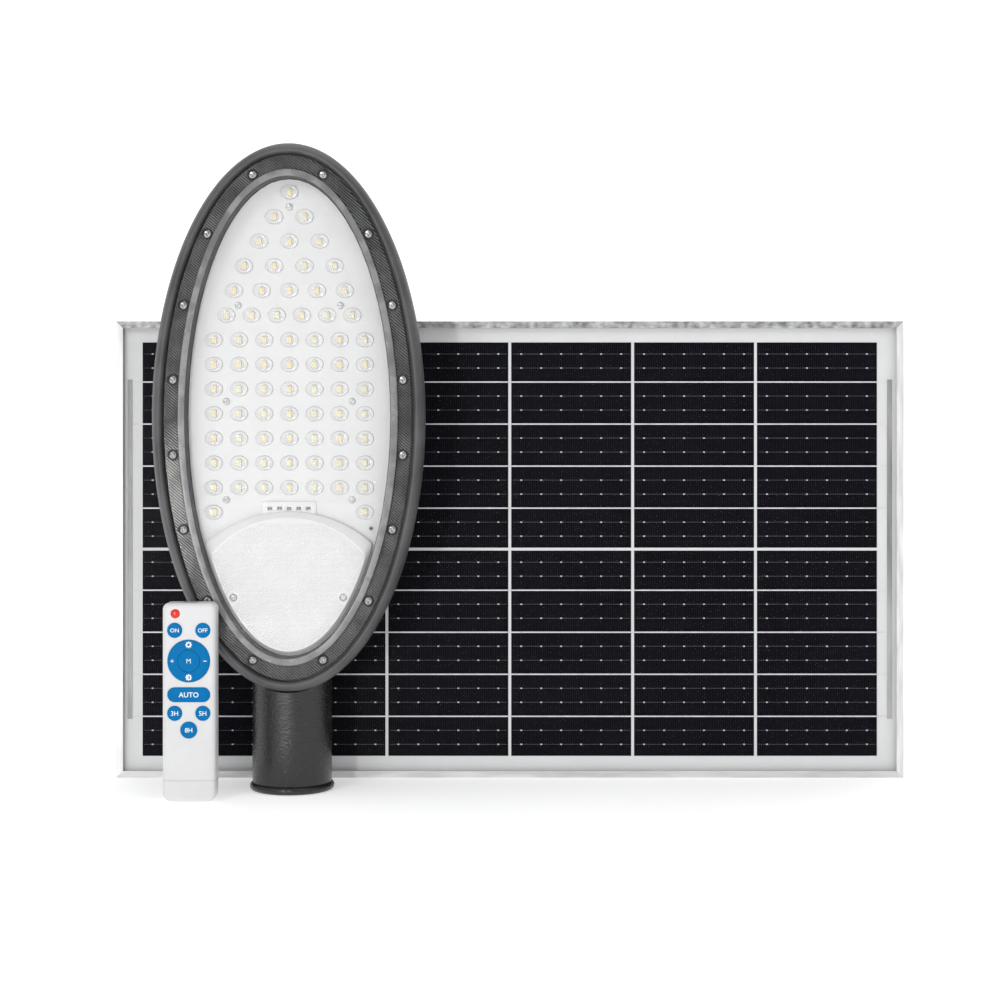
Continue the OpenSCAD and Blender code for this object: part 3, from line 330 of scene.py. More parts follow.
# two tones, scale of the tones, scale of the grain, smoothest and roughest, height and strength of the
# grain, and where needed the shader's constants and how the pattern is squeezed along each axis
grainRows = {
    "castingPaint": ((0.05, 0.05, 0.052), (0.092, 0.093, 0.095), 38, 1500,
                     (0.36, 0.52), 0.12, 0.7, {"Specular IOR Level": 0.6}),
    "socketPaint": ((0.005, 0.005, 0.0055), (0.013, 0.013, 0.0135), 420, 620,
                    (0.16, 0.28), 0.45, 1.0, {"Specular IOR Level": 0.6}),
    "screwSteel": (0.34, 0.5, 500, 2500, (0.14, 0.26), 0.03, 0.5, {"Metallic": 1.0}),
    "boardZinc": (0.62, (0.74, 0.74, 0.75), 500, 2500, (0.3, 0.42), 0.03, 0.5, {"Metallic": 0.45}),
    "sealRubber": ((0.012, 0.012, 0.013), (0.022, 0.022, 0.024), 120, 1200, (0.5, 0.7), 0.05, 0.5),
    "coverRib": ((0.06, 0.06, 0.062), (0.15, 0.151, 0.154), 60, 1200,
                 (0.08, 0.2), 0.03, 0.3, {"Specular IOR Level": 1.0}),
    # opaque light grey for the band at the cover window's step: a painted sheen standing in for the light
    # that the clear cover's sloped wall shows
    "coverStepPaintedSheen": ((0.15, 0.15, 0.152), (0.25, 0.25, 0.252), 70, 1500,
                   (0.18, 0.34), 0.04, 0.4, {"Specular IOR Level": 0.6}),
    "boardMask": (0.72, 0.76, 45, 1800, (0.35, 0.5), 0.02, 0.3),
    "chipPhosphor": ((0.87, 0.7, 0.3), (0.92, 0.79, 0.44), 900, 4000, (0.4, 0.6), 0.04, 0.6),
    "seatGrey": (0.56, 0.64, 300, 2500, (0.3, 0.45), 0.02, 0.3),
    "coverWhite": (0.76, 0.8, 40, 1400, (0.38, 0.52), 0.04, 0.4),
    "darkMoulding": ((0.012, 0.012, 0.013), (0.026, 0.026, 0.028), 90, 1500, (0.38, 0.55), 0.06, 0.6),
    "cellWrap": ((0.03, 0.16, 0.42), (0.04, 0.2, 0.5), 60, 900, (0.25, 0.4), 0.03, 0.4),
    "trayMoulding": ((0.05, 0.05, 0.055), (0.09, 0.09, 0.095), 70, 1500, (0.45, 0.6), 0.06, 0.6),
    "contactNickel": ((0.62, 0.59, 0.53), (0.75, 0.72, 0.66), 400, 2500,
                      (0.25, 0.4), 0.03, 0.5, {"Metallic": 1.0}),
    "boardGreen": ((0.008, 0.1, 0.035), (0.015, 0.16, 0.055), 200, 1500, (0.3, 0.45), 0.05, 0.5),
    # the frame bars are one aluminium in three copies: the top bar's darker tones are painted shade, the side
    # bars' near-white tones are painted light, and the foot's tones, set between them, are painted light too;
    # the mottle within each bar is the metal's own
    "frameTopAluminiumPaintedShade": (0.2, 0.6, 150, 2600, (0.32, 0.55), 0.05, 0.6, {"Metallic": 0.35}, (1.2, 1, 1.5)),
    "frameSideAluminiumPaintedLight": (0.66, 0.88, 150, 2600, (0.3, 0.48), 0.04, 0.5, {"Metallic": 0.3}, (1.6, 1, 0.2)),
    "frameFootAluminiumPaintedLight": (0.54, 0.7, 120, 2600, (0.3, 0.48), 0.04, 0.5, {"Metallic": 0.3}, (0.25, 1, 1.6)),
    "keyAluminium": ((0.5, 0.5, 0.51), (0.62, 0.62, 0.63), 80, 2000,
                     (0.35, 0.5), 0.05, 0.5, {"Metallic": 0.9}),
    "solarWafer": ((0.001, 0.001, 0.0026), (0.0024, 0.0022, 0.005), 24, 1800,
                   (0.35, 0.5), 0.01, 0.3, {"Specular IOR Level": 0.04}),
    "sheetWhite": ((0.715, 0.718, 0.722), (0.748, 0.75, 0.754), 30, 1200, (0.45, 0.6), 0.03, 0.4),
    "remoteWhite": ((0.65, 0.65, 0.655), (0.69, 0.69, 0.695), 50, 2200, (0.32, 0.45), 0.03, 0.4),
    "siliconePad": ((0.34, 0.4, 0.48), (0.42, 0.48, 0.56), 90, 1500, (0.5, 0.7), 0.04, 0.4),
    "dryCellWrap": ((0.55, 0.3, 0.05), (0.7, 0.42, 0.08), 70, 1500,
                    (0.25, 0.4), 0.02, 0.4, {"Metallic": 0.3}),
    "emitterEpoxy": ((0.02, 0.01, 0.03), (0.04, 0.02, 0.06), 300, 2000, (0.08, 0.16), 0.01, 0.2),
    "keyRed": ((0.66, 0.018, 0.01), (0.76, 0.03, 0.018), 160, 2500,
               (0.12, 0.22), 0.02, 0.3, {"Specular IOR Level": 0.4}),
    "keyBlue": ((0.0003, 0.152, 0.4), (0.0006, 0.168, 0.43), 120, 2200,
                (0.34, 0.46), 0.03, 0.4, {"Specular IOR Level": 0.05}),
    "keyPrint": ((0.84, 0.86, 0.88), (0.9, 0.91, 0.93), 300, 2500, (0.4, 0.5), 0.01, 0.3),
    "ribbonTin": ((0.6, 0.6, 0.63), (0.76, 0.76, 0.78), 190, 2500,
                  (0.35, 0.5), 0.03, 0.5, {"Metallic": 0.1}),
    "endRibbonTin": (0.2, 0.48, 9, 2500, (0.35, 0.5), 0.03, 0.5, {}, (6, 1, 1)),
    "lineSilver": ((0.085, 0.085, 0.1), (0.14, 0.14, 0.155), 300, 2500, (0.4, 0.5), 0.01, 0.3),
    "padSilver": ((0.55, 0.55, 0.57), (0.75, 0.75, 0.77), 500, 2500, (0.35, 0.5), 0.01, 0.3),
    "sealAdhesive": ((0.55, 0.56, 0.56), (0.66, 0.67, 0.67), 120, 1500, (0.5, 0.7), 0.05, 0.5),
    "printGrey": ((0.1, 0.1, 0.11), (0.17, 0.17, 0.18), 500, 2500, (0.4, 0.55), 0.01, 0.3),
}
# tint, bend of light, smoothest and roughest
clearRows = {
    "coverClear": (0.992, 1.35, (0.0, 0.03)),
    "lensClear": ((0.99, 0.99, 0.985), 1.47, (0.0, 0.05)),
    "panelGlass": ((0.998, 0.999, 0.998), 1.03, (0.0, 0.02)),
}
finish = {name: grainMaterial(name, *row) for name, row in grainRows.items()}
finish.update({name: clearMaterial(name, *row) for name, row in clearRows.items()})
addLines(finish["solarWafer"], 0, 0.0015, 0.30, (0.013, 0.013, 0.017))
print("materials ready:", len(finish))


# lamp head

headLow, headHigh = nodeBox("rear_housing")
head = {
    "a": (headHigh[0] - headLow[0]) / 2, "b": (headHigh[2] - headLow[2]) / 2,
    "x": (headHigh[0] + headLow[0]) / 2, "z": (headHigh[2] + headLow[2]) / 2,
    "around": 288, "wall": 3.0, "domePower": 2.5,
}
yRim = headLow[1]
yDome, domeDepth = yRim + 20, 52.0
yFlange = nodeBox("clear_cover")[1][1]          # back of the cover's flange
yBoard = nodeBox("led_board")[0][1]
yBoardBack = nodeBox("led_board")[1][1]


def ovalRings(levels):
    # each level is (half width, half height, depth): x = w cos t, z = h sin t
    levels = np.asarray(levels, float)
    t = np.linspace(0, 2 * np.pi, head["around"], endpoint=False)
    return np.stack([head["x"] + levels[:, :1] * np.cos(t), levels[:, 2:] + 0 * t,
                     head["z"] + levels[:, 1:2] * np.sin(t)], -1)


def insetLevels(profile):
    # (inset from the head's outline, depth) to (half width, half height, depth)
    profile = np.asarray(profile, float)
    return np.stack([head["a"] - profile[:, 0], head["b"] - profile[:, 0], profile[:, 1]], -1)


def domeLevels(inset, steep):
    # share of the width r = (sin f)^(2/power), depth = cos f, from the middle out to the rim
    f = np.linspace(0.02, np.pi / 2, steep)
    r = np.sin(f) ** (2 / head["domePower"])
    return np.stack([(head["a"] - inset) * r, (head["b"] - inset) * r,
                     yDome + (domeDepth - inset) * np.cos(f)], -1)


def domeDepthAt(u, v, inset=0.0):
    r = np.hypot(u / (head["a"] - inset), v / (head["b"] - inset))
    return yDome + (domeDepth - inset) * np.sqrt(np.clip(1 - r ** head["domePower"], 0, 1))


housing = {
    "rim": [(0, 0), (0, -9.5), (0.35, -12.4), (1.3, -15.2), (2.9, -17.8), (4.7, -19.6), (6.1, -20),
            (7.4, -19.2), (8.25, -16.8), (8.5, -11.5)],
    "shelf": [(8.5, -10.5), (22.1, -10.5), (26.6, -7.25), (26.6, -2), (30.1, -2), (30.1, 2), (4.5, 2)],
    "boss": [(-53, 14, 128), (-31, 31, 150)],
    "postRadius": 3.5,
}
boardScrewPlaces = np.array([(0, 162.5), (-39.5, 86.5), (39.5, 86.5), (-48.5, 12.4), (48.5, 12.4),
                             (-48.5, -63.6), (48.5, -63.6)])
bayLow, bayHigh = nodeBox("driver_cover_screws")
bayReachX = (bayHigh[0] - bayLow[0]) / 2 - 3.0
bayScrewPlaces = np.array([(side * bayReachX, (bayLow[2] + bayHigh[2]) / 2 - head["z"]) for side in (-1, 1)])


def onHead(places, y):
    # (across, up) on the head's face to points in the shared frame
    places = np.asarray(places, float)
    return np.stack([head["x"] + places[:, 0], np.full(len(places), y), head["z"] + places[:, 1]], -1)


rimLine = smoothLine(housing["rim"], 5) + [0, yDome]
profile = np.concatenate([rimLine, np.array(housing["shelf"], float) + [0, yDome]])
inside = domeLevels(head["wall"], 26)[:-2]
shell = skin(ovalRings(np.concatenate([domeLevels(0, 34), insetLevels(profile)[1:], inside[::-1]])))
posts = [turned([(housing["postRadius"], yBoardBack), (housing["postRadius"], domeDepthAt(*p, 1.5))],
                centre=(head["x"] + p[0], 0, head["z"] + p[1]), segments=20)
         for p in np.concatenate([boardScrewPlaces, bayScrewPlaces])]
boss = roundBlock(*housing["boss"], 3, 1.2)
makePiece("housingShell", [shell, boss] + posts, "castingPaint", "lamp",
          ["rear_housing"], 50)
print("housing shell ready")


# pole socket and neck
mouthRadius = nodeBox("pole_sleeve")[1][0]
screwTip = nodeBox("clamp_screw_lower")[0][1]
socket = {"bore": mouthRadius - 4, "outer": mouthRadius - 2, "end": 79, "boreEnd": 75, "bead": 3,
          "clampHeights": (20, 52), "bossRadius": 7, "bossOut": mouthRadius + 3.5, "screwRadius": 4.05,
          "screwPlaces": ((-15, 120), (15, 120), (-15, 162), (15, 162))}


def neckShape():
    # level sections up the neck: flat in front, round back corners, its back swelling out and in again
    z = np.linspace(49, 180, 40)
    back = np.interp(z, [49, 73, 93, 144, 170, 178, 180],
                     [socket["outer"] - 1.6, 36, 38, 38, 35.4, 33.2, 31.0])
    half = np.interp(z, [49, 60, 170, 180], [19.5, 23, 23, 19.5])
    bend = np.linspace(0, np.pi / 2, 7)
    corner = 4.0
    x = (half[:, None] - corner) + corner * np.cos(bend)
    y = (back[:, None] - corner) + corner * np.sin(bend)
    right = np.stack([x, y], -1)
    left = np.stack([-x[:, ::-1], y[:, ::-1]], -1)
    front = np.stack([np.stack([-half, 0 * z], -1), np.stack([half, 0 * z], -1)], 1)
    ring = np.concatenate([right, left, front], 1)
    return skin(np.concatenate([ring, np.broadcast_to(z[:, None, None], ring.shape[:2] + (1,))], -1))


bead = np.radians(np.linspace(-90, 78, 11))
wallLine = [(socket["outer"] - 3, 0)] + [
    (socket["outer"] - 1 + socket["bead"] * math.cos(t), socket["bead"] + socket["bead"] * math.sin(t))
    for t in bead] + [(socket["outer"], 6.8), (socket["outer"], 40), (socket["outer"], socket["end"] + 25)]
tube = turned(wallLine, "z", segments=160)
boreTool = turned([(socket["bore"] + 1.2, -2), (socket["bore"] + 1.2, 0.4), (socket["bore"], 2.2),
                   (socket["bore"], socket["boreEnd"])], "z", segments=160)
headLevels = np.concatenate([domeLevels(-0.3, 30), [[head["a"] + 0.3, head["b"] + 0.3, yRim - 5]]])
headTool = skin(ovalRings(headLevels))
clampBosses = [turned([(socket["bossRadius"], 26), (socket["bossRadius"], socket["bossOut"] - 0.8),
                       (socket["bossRadius"] - 0.8, socket["bossOut"])], centre=(0, 0, z), segments=40)
               for z in socket["clampHeights"]]
clampTools = [turned([(socket["screwRadius"], 5), (socket["screwRadius"], 45)], centre=(0, 0, z), segments=32)
              for z in socket["clampHeights"]]
counterbores = [turned([(2.6, 0), (2.6, 33.5), (4.65, 33.5), (4.65, 45)], centre=(x, 0, z), segments=28)
                for x, z in socket["screwPlaces"]]
socketShape = combine(tube, [neckShape()] + clampBosses, [headTool, boreTool] + clampTools + counterbores)
makePiece("poleSocket", [socketShape], "socketPaint", "lamp", ["pole_sleeve"], 40)
print("pole socket ready")


# screws
def panHead(radius, high, recess=0.52, slot=0.15):
    # square grid bent to a disc; height = high (1 - r^3)^0.5, less a cross-shaped recess that narrows inwards
    mark = np.array([-1, -0.94, -0.82, -0.64, -recess - 0.03, -recess, -slot - 0.02, -slot + 0.02, 0])
    mark = np.concatenate([mark, -mark[-2::-1]])
    u, v = np.meshgrid(mark, mark, indexing="ij")
    x, z = u * np.sqrt(1 - v ** 2 / 2), v * np.sqrt(1 - u ** 2 / 2)
    lift = high * np.sqrt(np.clip(1 - np.hypot(x, z) ** 3, 0, 1))
    reach = np.maximum(np.abs(u), np.abs(v))
    cut = (np.minimum(np.abs(u), np.abs(v)) <= slot) & (reach <= recess)
    lift = lift - np.where(cut, 0.62 * high * (1.15 - reach / recess * 0.55), 0)
    top = np.stack([x * radius, -lift, z * radius], -1).reshape(-1, 3)
    size = len(mark)
    number = np.arange(size * size).reshape(size, size)
    edge = np.concatenate([number[:-1, 0], number[-1, :-1], number[:0:-1, -1], number[0, :0:-1]])
    fan = np.stack([edge, np.roll(edge, -1), np.full(len(edge), len(top))], -1)
    return outward((np.concatenate([top, [[0, 0.0, 0]]]), [gridFaces(size, size), fan]))


def screwSet(places, y, radius, high, shank, length):
    # pan heads that sit on the plane at depth y, with plain shanks behind them
    rod = turned([(shank, 0), (shank, length)], segments=14)
    return [repeat(shape, onHead(places, y)) for shape in (panHead(radius, high), rod)]


def arcStations(inset, count):
    # count points at equal arc along the oval, half a pitch from its right end
    t = np.linspace(0, 2 * np.pi, 4001)
    x, z = (head["a"] - inset) * np.cos(t), (head["b"] - inset) * np.sin(t)
    run = np.concatenate([[0], np.cumsum(np.hypot(np.diff(x), np.diff(z)))])
    want = (np.arange(count) + 0.5) / count * run[-1]
    return np.stack([np.interp(want, run, x), np.interp(want, run, z)], -1)


cover = {"flangeInset": 9.6, "windowInset": 20.6, "wallInset": 23.6, "flangeFront": -31.0,
         "windowFront": -34.0, "screwInset": 15.9, "screwCount": 16, "ribPitch": 1.75, "ribAngle": 40,
         "ribHigh": 0.42, "ribHalf": 0.62}
coverScrewPlaces = arcStations(cover["screwInset"], cover["screwCount"])
for name, node, places, y, sizes, paint in (
        ("coverScrews", "cover_screws", coverScrewPlaces, cover["flangeFront"], (3.6, 2.4, 2.0, 9),
         "screwSteel"),
        ("boardScrews", "board_screws", boardScrewPlaces, yBoard, (2.8, 1.8, 1.5, 9), "boardZinc"),
        ("bayScrews", "driver_cover_screws", bayScrewPlaces, -26.2, (2.8, 1.8, 1.5, 14), "boardZinc")):
    makePiece(name, screwSet(places, y, *sizes), paint, "lamp", [node])


def hexTool(radius, y0, y1):
    angle = np.arange(6) * np.pi / 3
    ring = radius * np.stack([np.cos(angle), 0 * angle, np.sin(angle)], -1)
    return skin(np.stack([ring + [0, y, 0] for y in (y0, y1)]))


# cylinder heads with a rounded edge and a six-sided socket, shank towards -Y
neckScrew = combine(turned([(2.5, -12), (2.5, 0), (4.25, 0), (4.25, 4.4), (3.65, 5)], segments=36), (),
                    [hexTool(4.25 * 0.55, 2, 6)])
makePiece("neckScrews", [repeat(neckScrew, [(x, 33.5, z) for x, z in socket["screwPlaces"]])],
          "screwSteel", "lamp", ["neck_screws"])
setScrew = combine(turned([(2.6, screwTip), (4, screwTip + 1.4), (4, screwTip + 9.4), (3.4, screwTip + 10)],
                          segments=36), (), [hexTool(2.2, screwTip + 6, screwTip + 12)])
for height, side in zip(socket["clampHeights"], ("Lower", "Upper")):
    makePiece("clampScrew" + side, [repeat(setScrew, [(0, 0, height)])], "screwSteel",
              "clamp_" + side.lower(), ["clamp_screw_" + side.lower()])
print("screws ready")


# clear cover, its ribbed flange and the gasket
gasketLine = [(10.1, -27.9), (10.5, -28), (21.2, -28), (21.6, -27.9), (21.6, -26.6), (21.2, -26.5),
              (10.5, -26.5), (10.1, -26.6)]
makePiece("coverGasket", [skin(ovalRings(insetLevels(gasketLine)), True)], "sealRubber", "lamp",
          ["cover_gasket"])
edge = np.radians(np.linspace(0, 90, 6))
coverLine = [(head["a"] - 3, cover["windowFront"]), (head["a"] * 0.6, cover["windowFront"]),
             (24, cover["windowFront"])]
coverLine += [(cover["windowInset"] + 1.2 - 1.2 * math.sin(t), cover["windowFront"] + 1.2 - 1.2 * math.cos(t))
              for t in edge]
coverLine += [(cover["windowInset"], cover["flangeFront"] - 0.3),
              (cover["windowInset"] - 0.3, cover["flangeFront"]),
              (cover["flangeInset"] + 0.4, cover["flangeFront"]),
              (cover["flangeInset"], cover["flangeFront"] + 0.4),
              (cover["flangeInset"], yFlange - 0.3), (cover["flangeInset"] + 0.3, yFlange),
              (cover["wallInset"], yFlange), (cover["wallInset"], cover["flangeFront"] + 0.5),
              (cover["wallInset"] + 0.5, cover["flangeFront"]), (head["a"] * 0.6, cover["flangeFront"]),
              (head["a"] - 3, cover["flangeFront"])]
makePiece("clearCover", [skin(ovalRings(insetLevels(coverLine)))], "coverClear", "lamp",
          ["clear_cover"], 30)


def ribShapes():
    # parallel lines n.p = k pitch, kept where they cross the flange band between two ovals
    angle = math.radians(cover["ribAngle"])
    along = np.array([math.cos(angle), -math.sin(angle)])
    across = np.array([math.sin(angle), math.cos(angle)])
    reach = head["b"]
    c = np.arange(-reach, reach, cover["ribPitch"])

    def crossings(inset):
        wide, high = head["a"] - inset, head["b"] - inset
        p = (along[0] / wide) ** 2 + (along[1] / high) ** 2
        q = c * (across[0] * along[0] / wide ** 2 + across[1] * along[1] / high ** 2)
        r = c ** 2 * ((across[0] / wide) ** 2 + (across[1] / high) ** 2) - 1
        root = np.sqrt(np.clip(q ** 2 - p * r, 0, None))
        return (-q - root) / p, (-q + root) / p, q ** 2 - p * r > 0

    outLow, outHigh, outHit = crossings(cover["flangeInset"] + 0.5)
    inLow, inHigh, inHit = crossings(cover["windowInset"] - 0.5)
    both, only = outHit & inHit, outHit & ~inHit
    s0 = np.concatenate([outLow[both], inHigh[both], outLow[only]])
    s1 = np.concatenate([inLow[both], outHigh[both], outHigh[only]])
    k = np.concatenate([c[both], c[both], c[only]])
    keep = s1 - s0 > 0.8
    s0, s1, k = s0[keep], s1[keep], k[keep]
    h, w = cover["ribHigh"], cover["ribHalf"]
    section = np.array([(-w, 0.05), (-w * 0.75, -h * 0.6), (-w * 0.3, -h), (w * 0.3, -h),
                        (w * 0.75, -h * 0.6),
                        (w, 0.05)])
    ends = np.stack([s0, s1], 1)
    place = (ends[:, :, None, None] * along + (k[:, None, None, None] + section[:, :1]) * across)
    depth = np.broadcast_to(cover["flangeFront"] + section[:, 1], place.shape[:3])
    points = np.stack([head["x"] + place[..., 0], depth, head["z"] + place[..., 1]], -1)
    size = len(section)
    sides = gridFaces(2, size, False, True)
    shift = np.arange(len(k))[:, None, None] * 2 * size
    caps = np.stack([np.arange(size)[::-1], np.arange(size) + size])
    return outward((points.reshape(-1, 3), [(sides[None] + shift).reshape(-1, 4),
                                            (caps[None] + shift).reshape(-1, size)]))


padLine = [(4.5, 0.0), (4.5, -0.40), (4.2, -0.55), (3.2, -0.55)]
screwPads = repeat(turned(padLine, segments=32), onHead(coverScrewPlaces, cover["flangeFront"]))
# an opaque light grey ring on the clear cover's step around the window: painted sheen in place of the light
# that its sloped wall shows
sheenBandLine = [(25.9, -34.0), (25.6, -34.04), (21.3, -34.04), (20.75, -33.7), (20.57, -33.0), (20.57, -31.4),
             (21.0, -31.4), (21.0, -33.0), (21.4, -33.96), (25.9, -33.96)]
makePiece("coverStepPaintedSheenBand", [skin(ovalRings(insetLevels(sheenBandLine)), True)], "coverStepPaintedSheen", "lamp",
          (), 30)
makePiece("coverRibs", [ribShapes()], "coverRib", "lamp", (), 25)
makePiece("screwSeals", [screwPads], "sealRubber", "lamp", (), 25)
print("clear cover ready")


# the driver bay: its top is an arc, drop below the head's middle
bay = {"arc": 96.4, "drop": 72.6, "faceArc": 77.0, "faceDrop": 76.9, "front": -28.0, "side": -24.2,
       "centre": -150.0, "around": 240, "hatch": 2.3, "hatchHigh": 0.5}

# light board
led = {"pitchUp": 19.0, "top": 173.9, "rows": 22, "columns": 7, "room": 35.5,
       "pitchAcross": (23.3, 21.35, 19.4), "bayGap": 9.4}


def ledPlaces():
    # rows from the top down, each with as many as its number up to seven, kept off the edge and the bay
    row = np.arange(1, led["rows"])[:, None]
    k = np.arange(led["columns"])[None]
    count = np.minimum(row, led["columns"])
    few, five, many = led["pitchAcross"]
    pitch = np.where(count < 5, few, np.where(count == 5, five, many))
    u = (k - (count - 1) / 2) * pitch
    v = led["top"] - led["pitchUp"] * (row - 1) + 0 * u
    arc = -bay["drop"] - bay["arc"] + np.sqrt(np.clip(bay["arc"] ** 2 - u ** 2, 0, None))
    fits = (k < count) & (np.hypot(u / (head["a"] - led["room"]), v / (head["b"] - led["room"])) < 1)
    fits &= v > arc + led["bayGap"]
    return np.stack([u[fits], v[fits]], -1)


lights = ledPlaces()
print("lights:", len(lights))
package = roundBlock((-1.75, -0.7, -1.9), (1.75, 0, 1.9), 0.25, 0.08, steps=2, around=2)
phosphor = roundBlock((-1.3, -0.8, -1.6), (1.3, -0.3, 1.6), 0.2, 0.1, steps=2, around=2)
makePiece("chipPackages", [repeat(package, onHead(lights, yBoard))], "boardMask", "lamp",
          (), 30)
makePiece("ledChips", [repeat(phosphor, onHead(lights, yBoard))], "chipPhosphor", "lamp",
          ["led_chips"], 30)

lens = {"wide": 6.5, "high": 5.35, "foot": 0.9, "rise": 5.1, "dip": 0.12, "dipWide": 0.30}


def lensShape():
    # oval dome, rise (1 - r^2.6)^0.62, with a soft upright valley across its middle
    r = np.concatenate([[0.02], np.linspace(0.14, 0.86, 6), [0.93, 0.975, 1.0]])
    t = np.linspace(0, 2 * np.pi, 28, endpoint=False)
    x, z = r[:, None] * np.cos(t), r[:, None] * np.sin(t)
    rise = lens["rise"] * np.clip(1 - r[:, None] ** 2.6, 0, 1) ** 0.62
    rise = rise * (1 - lens["dip"] * np.exp(-(x / lens["dipWide"]) ** 2) * (1 - 0.4 * z ** 2))
    top = np.stack([x * lens["wide"], -lens["foot"] - rise, z * lens["high"]], -1)
    side = np.stack([lens["wide"] * np.cos(t), 0 * t, lens["high"] * np.sin(t)], -1)[None]
    pocket = [np.stack([w * np.cos(t), 0 * t + y, w * np.sin(t)], -1)[None]
              for w, y in ((2.7, 0), (2.6, -1.0), (0.3, -1.1))]
    return skin(np.concatenate([top, side] + pocket))


makePiece("ledLenses", [repeat(lensShape(), onHead(lights, yBoard - 0.02))], "lensClear", "lamp",
          ["led_lenses"], 60)
seatLine = np.array([(1.0, 0.0), (1.0, -0.55), (1.035, -0.7), (1.075, -0.55), (1.085, 0.0)])
seatTurn = np.linspace(0, 2 * np.pi, 28, endpoint=False)
seat = skin(np.stack([seatLine[:, :1] * lens["wide"] * np.cos(seatTurn), seatLine[:, 1:] + 0 * seatTurn,
                      seatLine[:, :1] * lens["high"] * np.sin(seatTurn)], -1), True)
makePiece("lensSeats", [repeat(seat, onHead(lights, yBoard))], "seatGrey", "lamp", (), 40)
print("light board ready")


# driver cover with its hatched face and charge window

def bayReach(arc, drop, inset):
    # from a centre inside the bay, the way out to its arc and to the oval; the nearer one counts, softly
    t = np.linspace(0, 2 * np.pi, bay["around"], endpoint=False)
    dx, dz = np.cos(t), np.sin(t)
    up = bay["centre"] + drop + arc
    toArc = -dz * up + np.sqrt(np.clip((dz * up) ** 2 - up ** 2 + arc ** 2, 0, None))
    wide, high = head["a"] - inset, head["b"] - inset
    p = (dx / wide) ** 2 + (dz / high) ** 2
    q = bay["centre"] * dz / high ** 2
    toOval = (-q + np.sqrt(q ** 2 - p * ((bay["centre"] / high) ** 2 - 1))) / p
    soft = 1.2
    nearest = np.minimum(toArc, toOval)
    return t, nearest - soft * np.log(np.exp(-(toArc - nearest) / soft) + np.exp(-(toOval - nearest) / soft))


def bayShape():
    t, outer = bayReach(bay["arc"], bay["drop"], 28.6)
    face = bayReach(bay["faceArc"], bay["faceDrop"], 31.2)[1]
    blend = np.array([0, 0, 0.03, 0.12, 0.5, 0.88, 0.97, 1, 1.012])
    depth = np.array([yBoard, bay["side"], bay["side"] - 0.35, bay["side"] - 0.75,
                      (bay["side"] + bay["front"]) / 2,
                      bay["front"] + 0.45, bay["front"] + 0.15, bay["front"] + 0.02, bay["front"]])
    reach = outer + (face - outer) * blend[:, None]
    reach = np.concatenate([reach, [face * 0.6], [face * 0.15]])
    depth = np.concatenate([depth, [bay["front"], bay["front"]]])
    return skin(np.stack([head["x"] + reach * np.cos(t), depth[:, None] + 0 * t,
                          head["z"] + bay["centre"] + reach * np.sin(t)], -1))


tabShape = roundBlock((head["x"] - 21, yBoard - 1.3, head["z"] - 84.6),
                      (head["x"] + 21, yBoard + 0.01, head["z"] - 64.6), 2.2, 0.5)
chargePlaces = [(7.4 * k, -70.1) for k in (-2, -1, 0, 1, 2)]
slots = [roundBlock((head["x"] + u - 1.9, -27, head["z"] + v - 1.4),
                    (head["x"] + u + 1.9, yBoard + 1, head["z"] + v + 1.4),
                    0.5, 0.05) for u, v in chargePlaces]
screwWells = [turned([(3.1, -29), (3.1, -26.2), (1.7, -26.2), (1.7, -19)],
                     centre=(head["x"] + u, 0, head["z"] + v), segments=32) for u, v in bayScrewPlaces]
bayCover = combine(bayShape(), [tabShape], slots + screwWells)


def hatchShape():
    # low four-sided points on a diamond lattice, where they fit on the flat face
    step = bay["hatch"] / 2
    i, j = np.meshgrid(np.arange(-70, 71), np.arange(-110, 60), indexing="ij")
    even = (i + j) % 2 == 0
    u, v = i[even] * step, bay["centre"] + j[even] * step
    t, face = bayReach(bay["faceArc"], bay["faceDrop"], 31.2)
    angle = np.mod(np.arctan2(v - bay["centre"], u), 2 * np.pi)
    room = np.interp(angle, np.append(t, 2 * np.pi), np.append(face, face[0]))
    clear = np.hypot(u, v - bay["centre"]) < room - 1.8
    for screw in bayScrewPlaces:
        clear &= np.hypot(u - screw[0], v - screw[1]) > 5.4
    u, v = u[clear], v[clear]
    half, y = step * 0.94, bay["front"]
    star = np.array([(half, 0.03, 0), (0, 0.03, half), (-half, 0.03, 0), (0, 0.03, -half),
                     (0, -bay["hatchHigh"], 0)])
    faces = np.array([(0, 1, 4), (1, 2, 4), (2, 3, 4), (3, 0, 4)])
    base = np.array([(3, 2, 1, 0)])
    return repeat(outward((star, [faces, base])), onHead(np.stack([u, v], -1), y))


bulb = turned([(0.05, -1.0), (0.45, -0.9), (0.8, -0.6), (0.95, 0), (0.95, 0.8), (0.5, 0.8)], segments=20)
makePiece("chargeWindows", [repeat(bulb, onHead(chargePlaces, yBoard - 0.3))], "seatGrey", "lamp")
makePiece("driverCover", [bayCover, hatchShape()], "coverWhite", "lamp",
          ["driver_cover"], 24)
eye = [(0.1, -24.28), (0.5, -24.1), (0.95, -23.6), (1.2, -22.9), (1.35, -22.2), (1.35, yBoard), (1.0, yBoard)]
eyePlace = sum(nodeBox("remote_receiver")) / 2
makePiece("receiverEye", [turned(eye, centre=(eyePlace[0], 0, eyePlace[2]), segments=28)], "printGrey",
          "lamp", ["remote_receiver"])
print("driver cover ready")


# cable glands
gland = {"thread": 6.0, "bore": 3.2, "ribs": 24}


def hexRings(profile, rounding):
    # radius of a hexagon across its turn, flattened towards a circle by the rounding share
    t = np.linspace(0, 2 * np.pi, 72, endpoint=False)
    flat = math.cos(math.pi / 6) / np.cos(np.mod(t, math.pi / 3) - math.pi / 6)
    profile = np.asarray(profile, float)
    r = np.minimum(profile[:, :1] * flat, profile[:, :1] * rounding)
    return np.stack([r * np.cos(t), r * np.sin(t), profile[:, 1:] + 0 * t], -1)


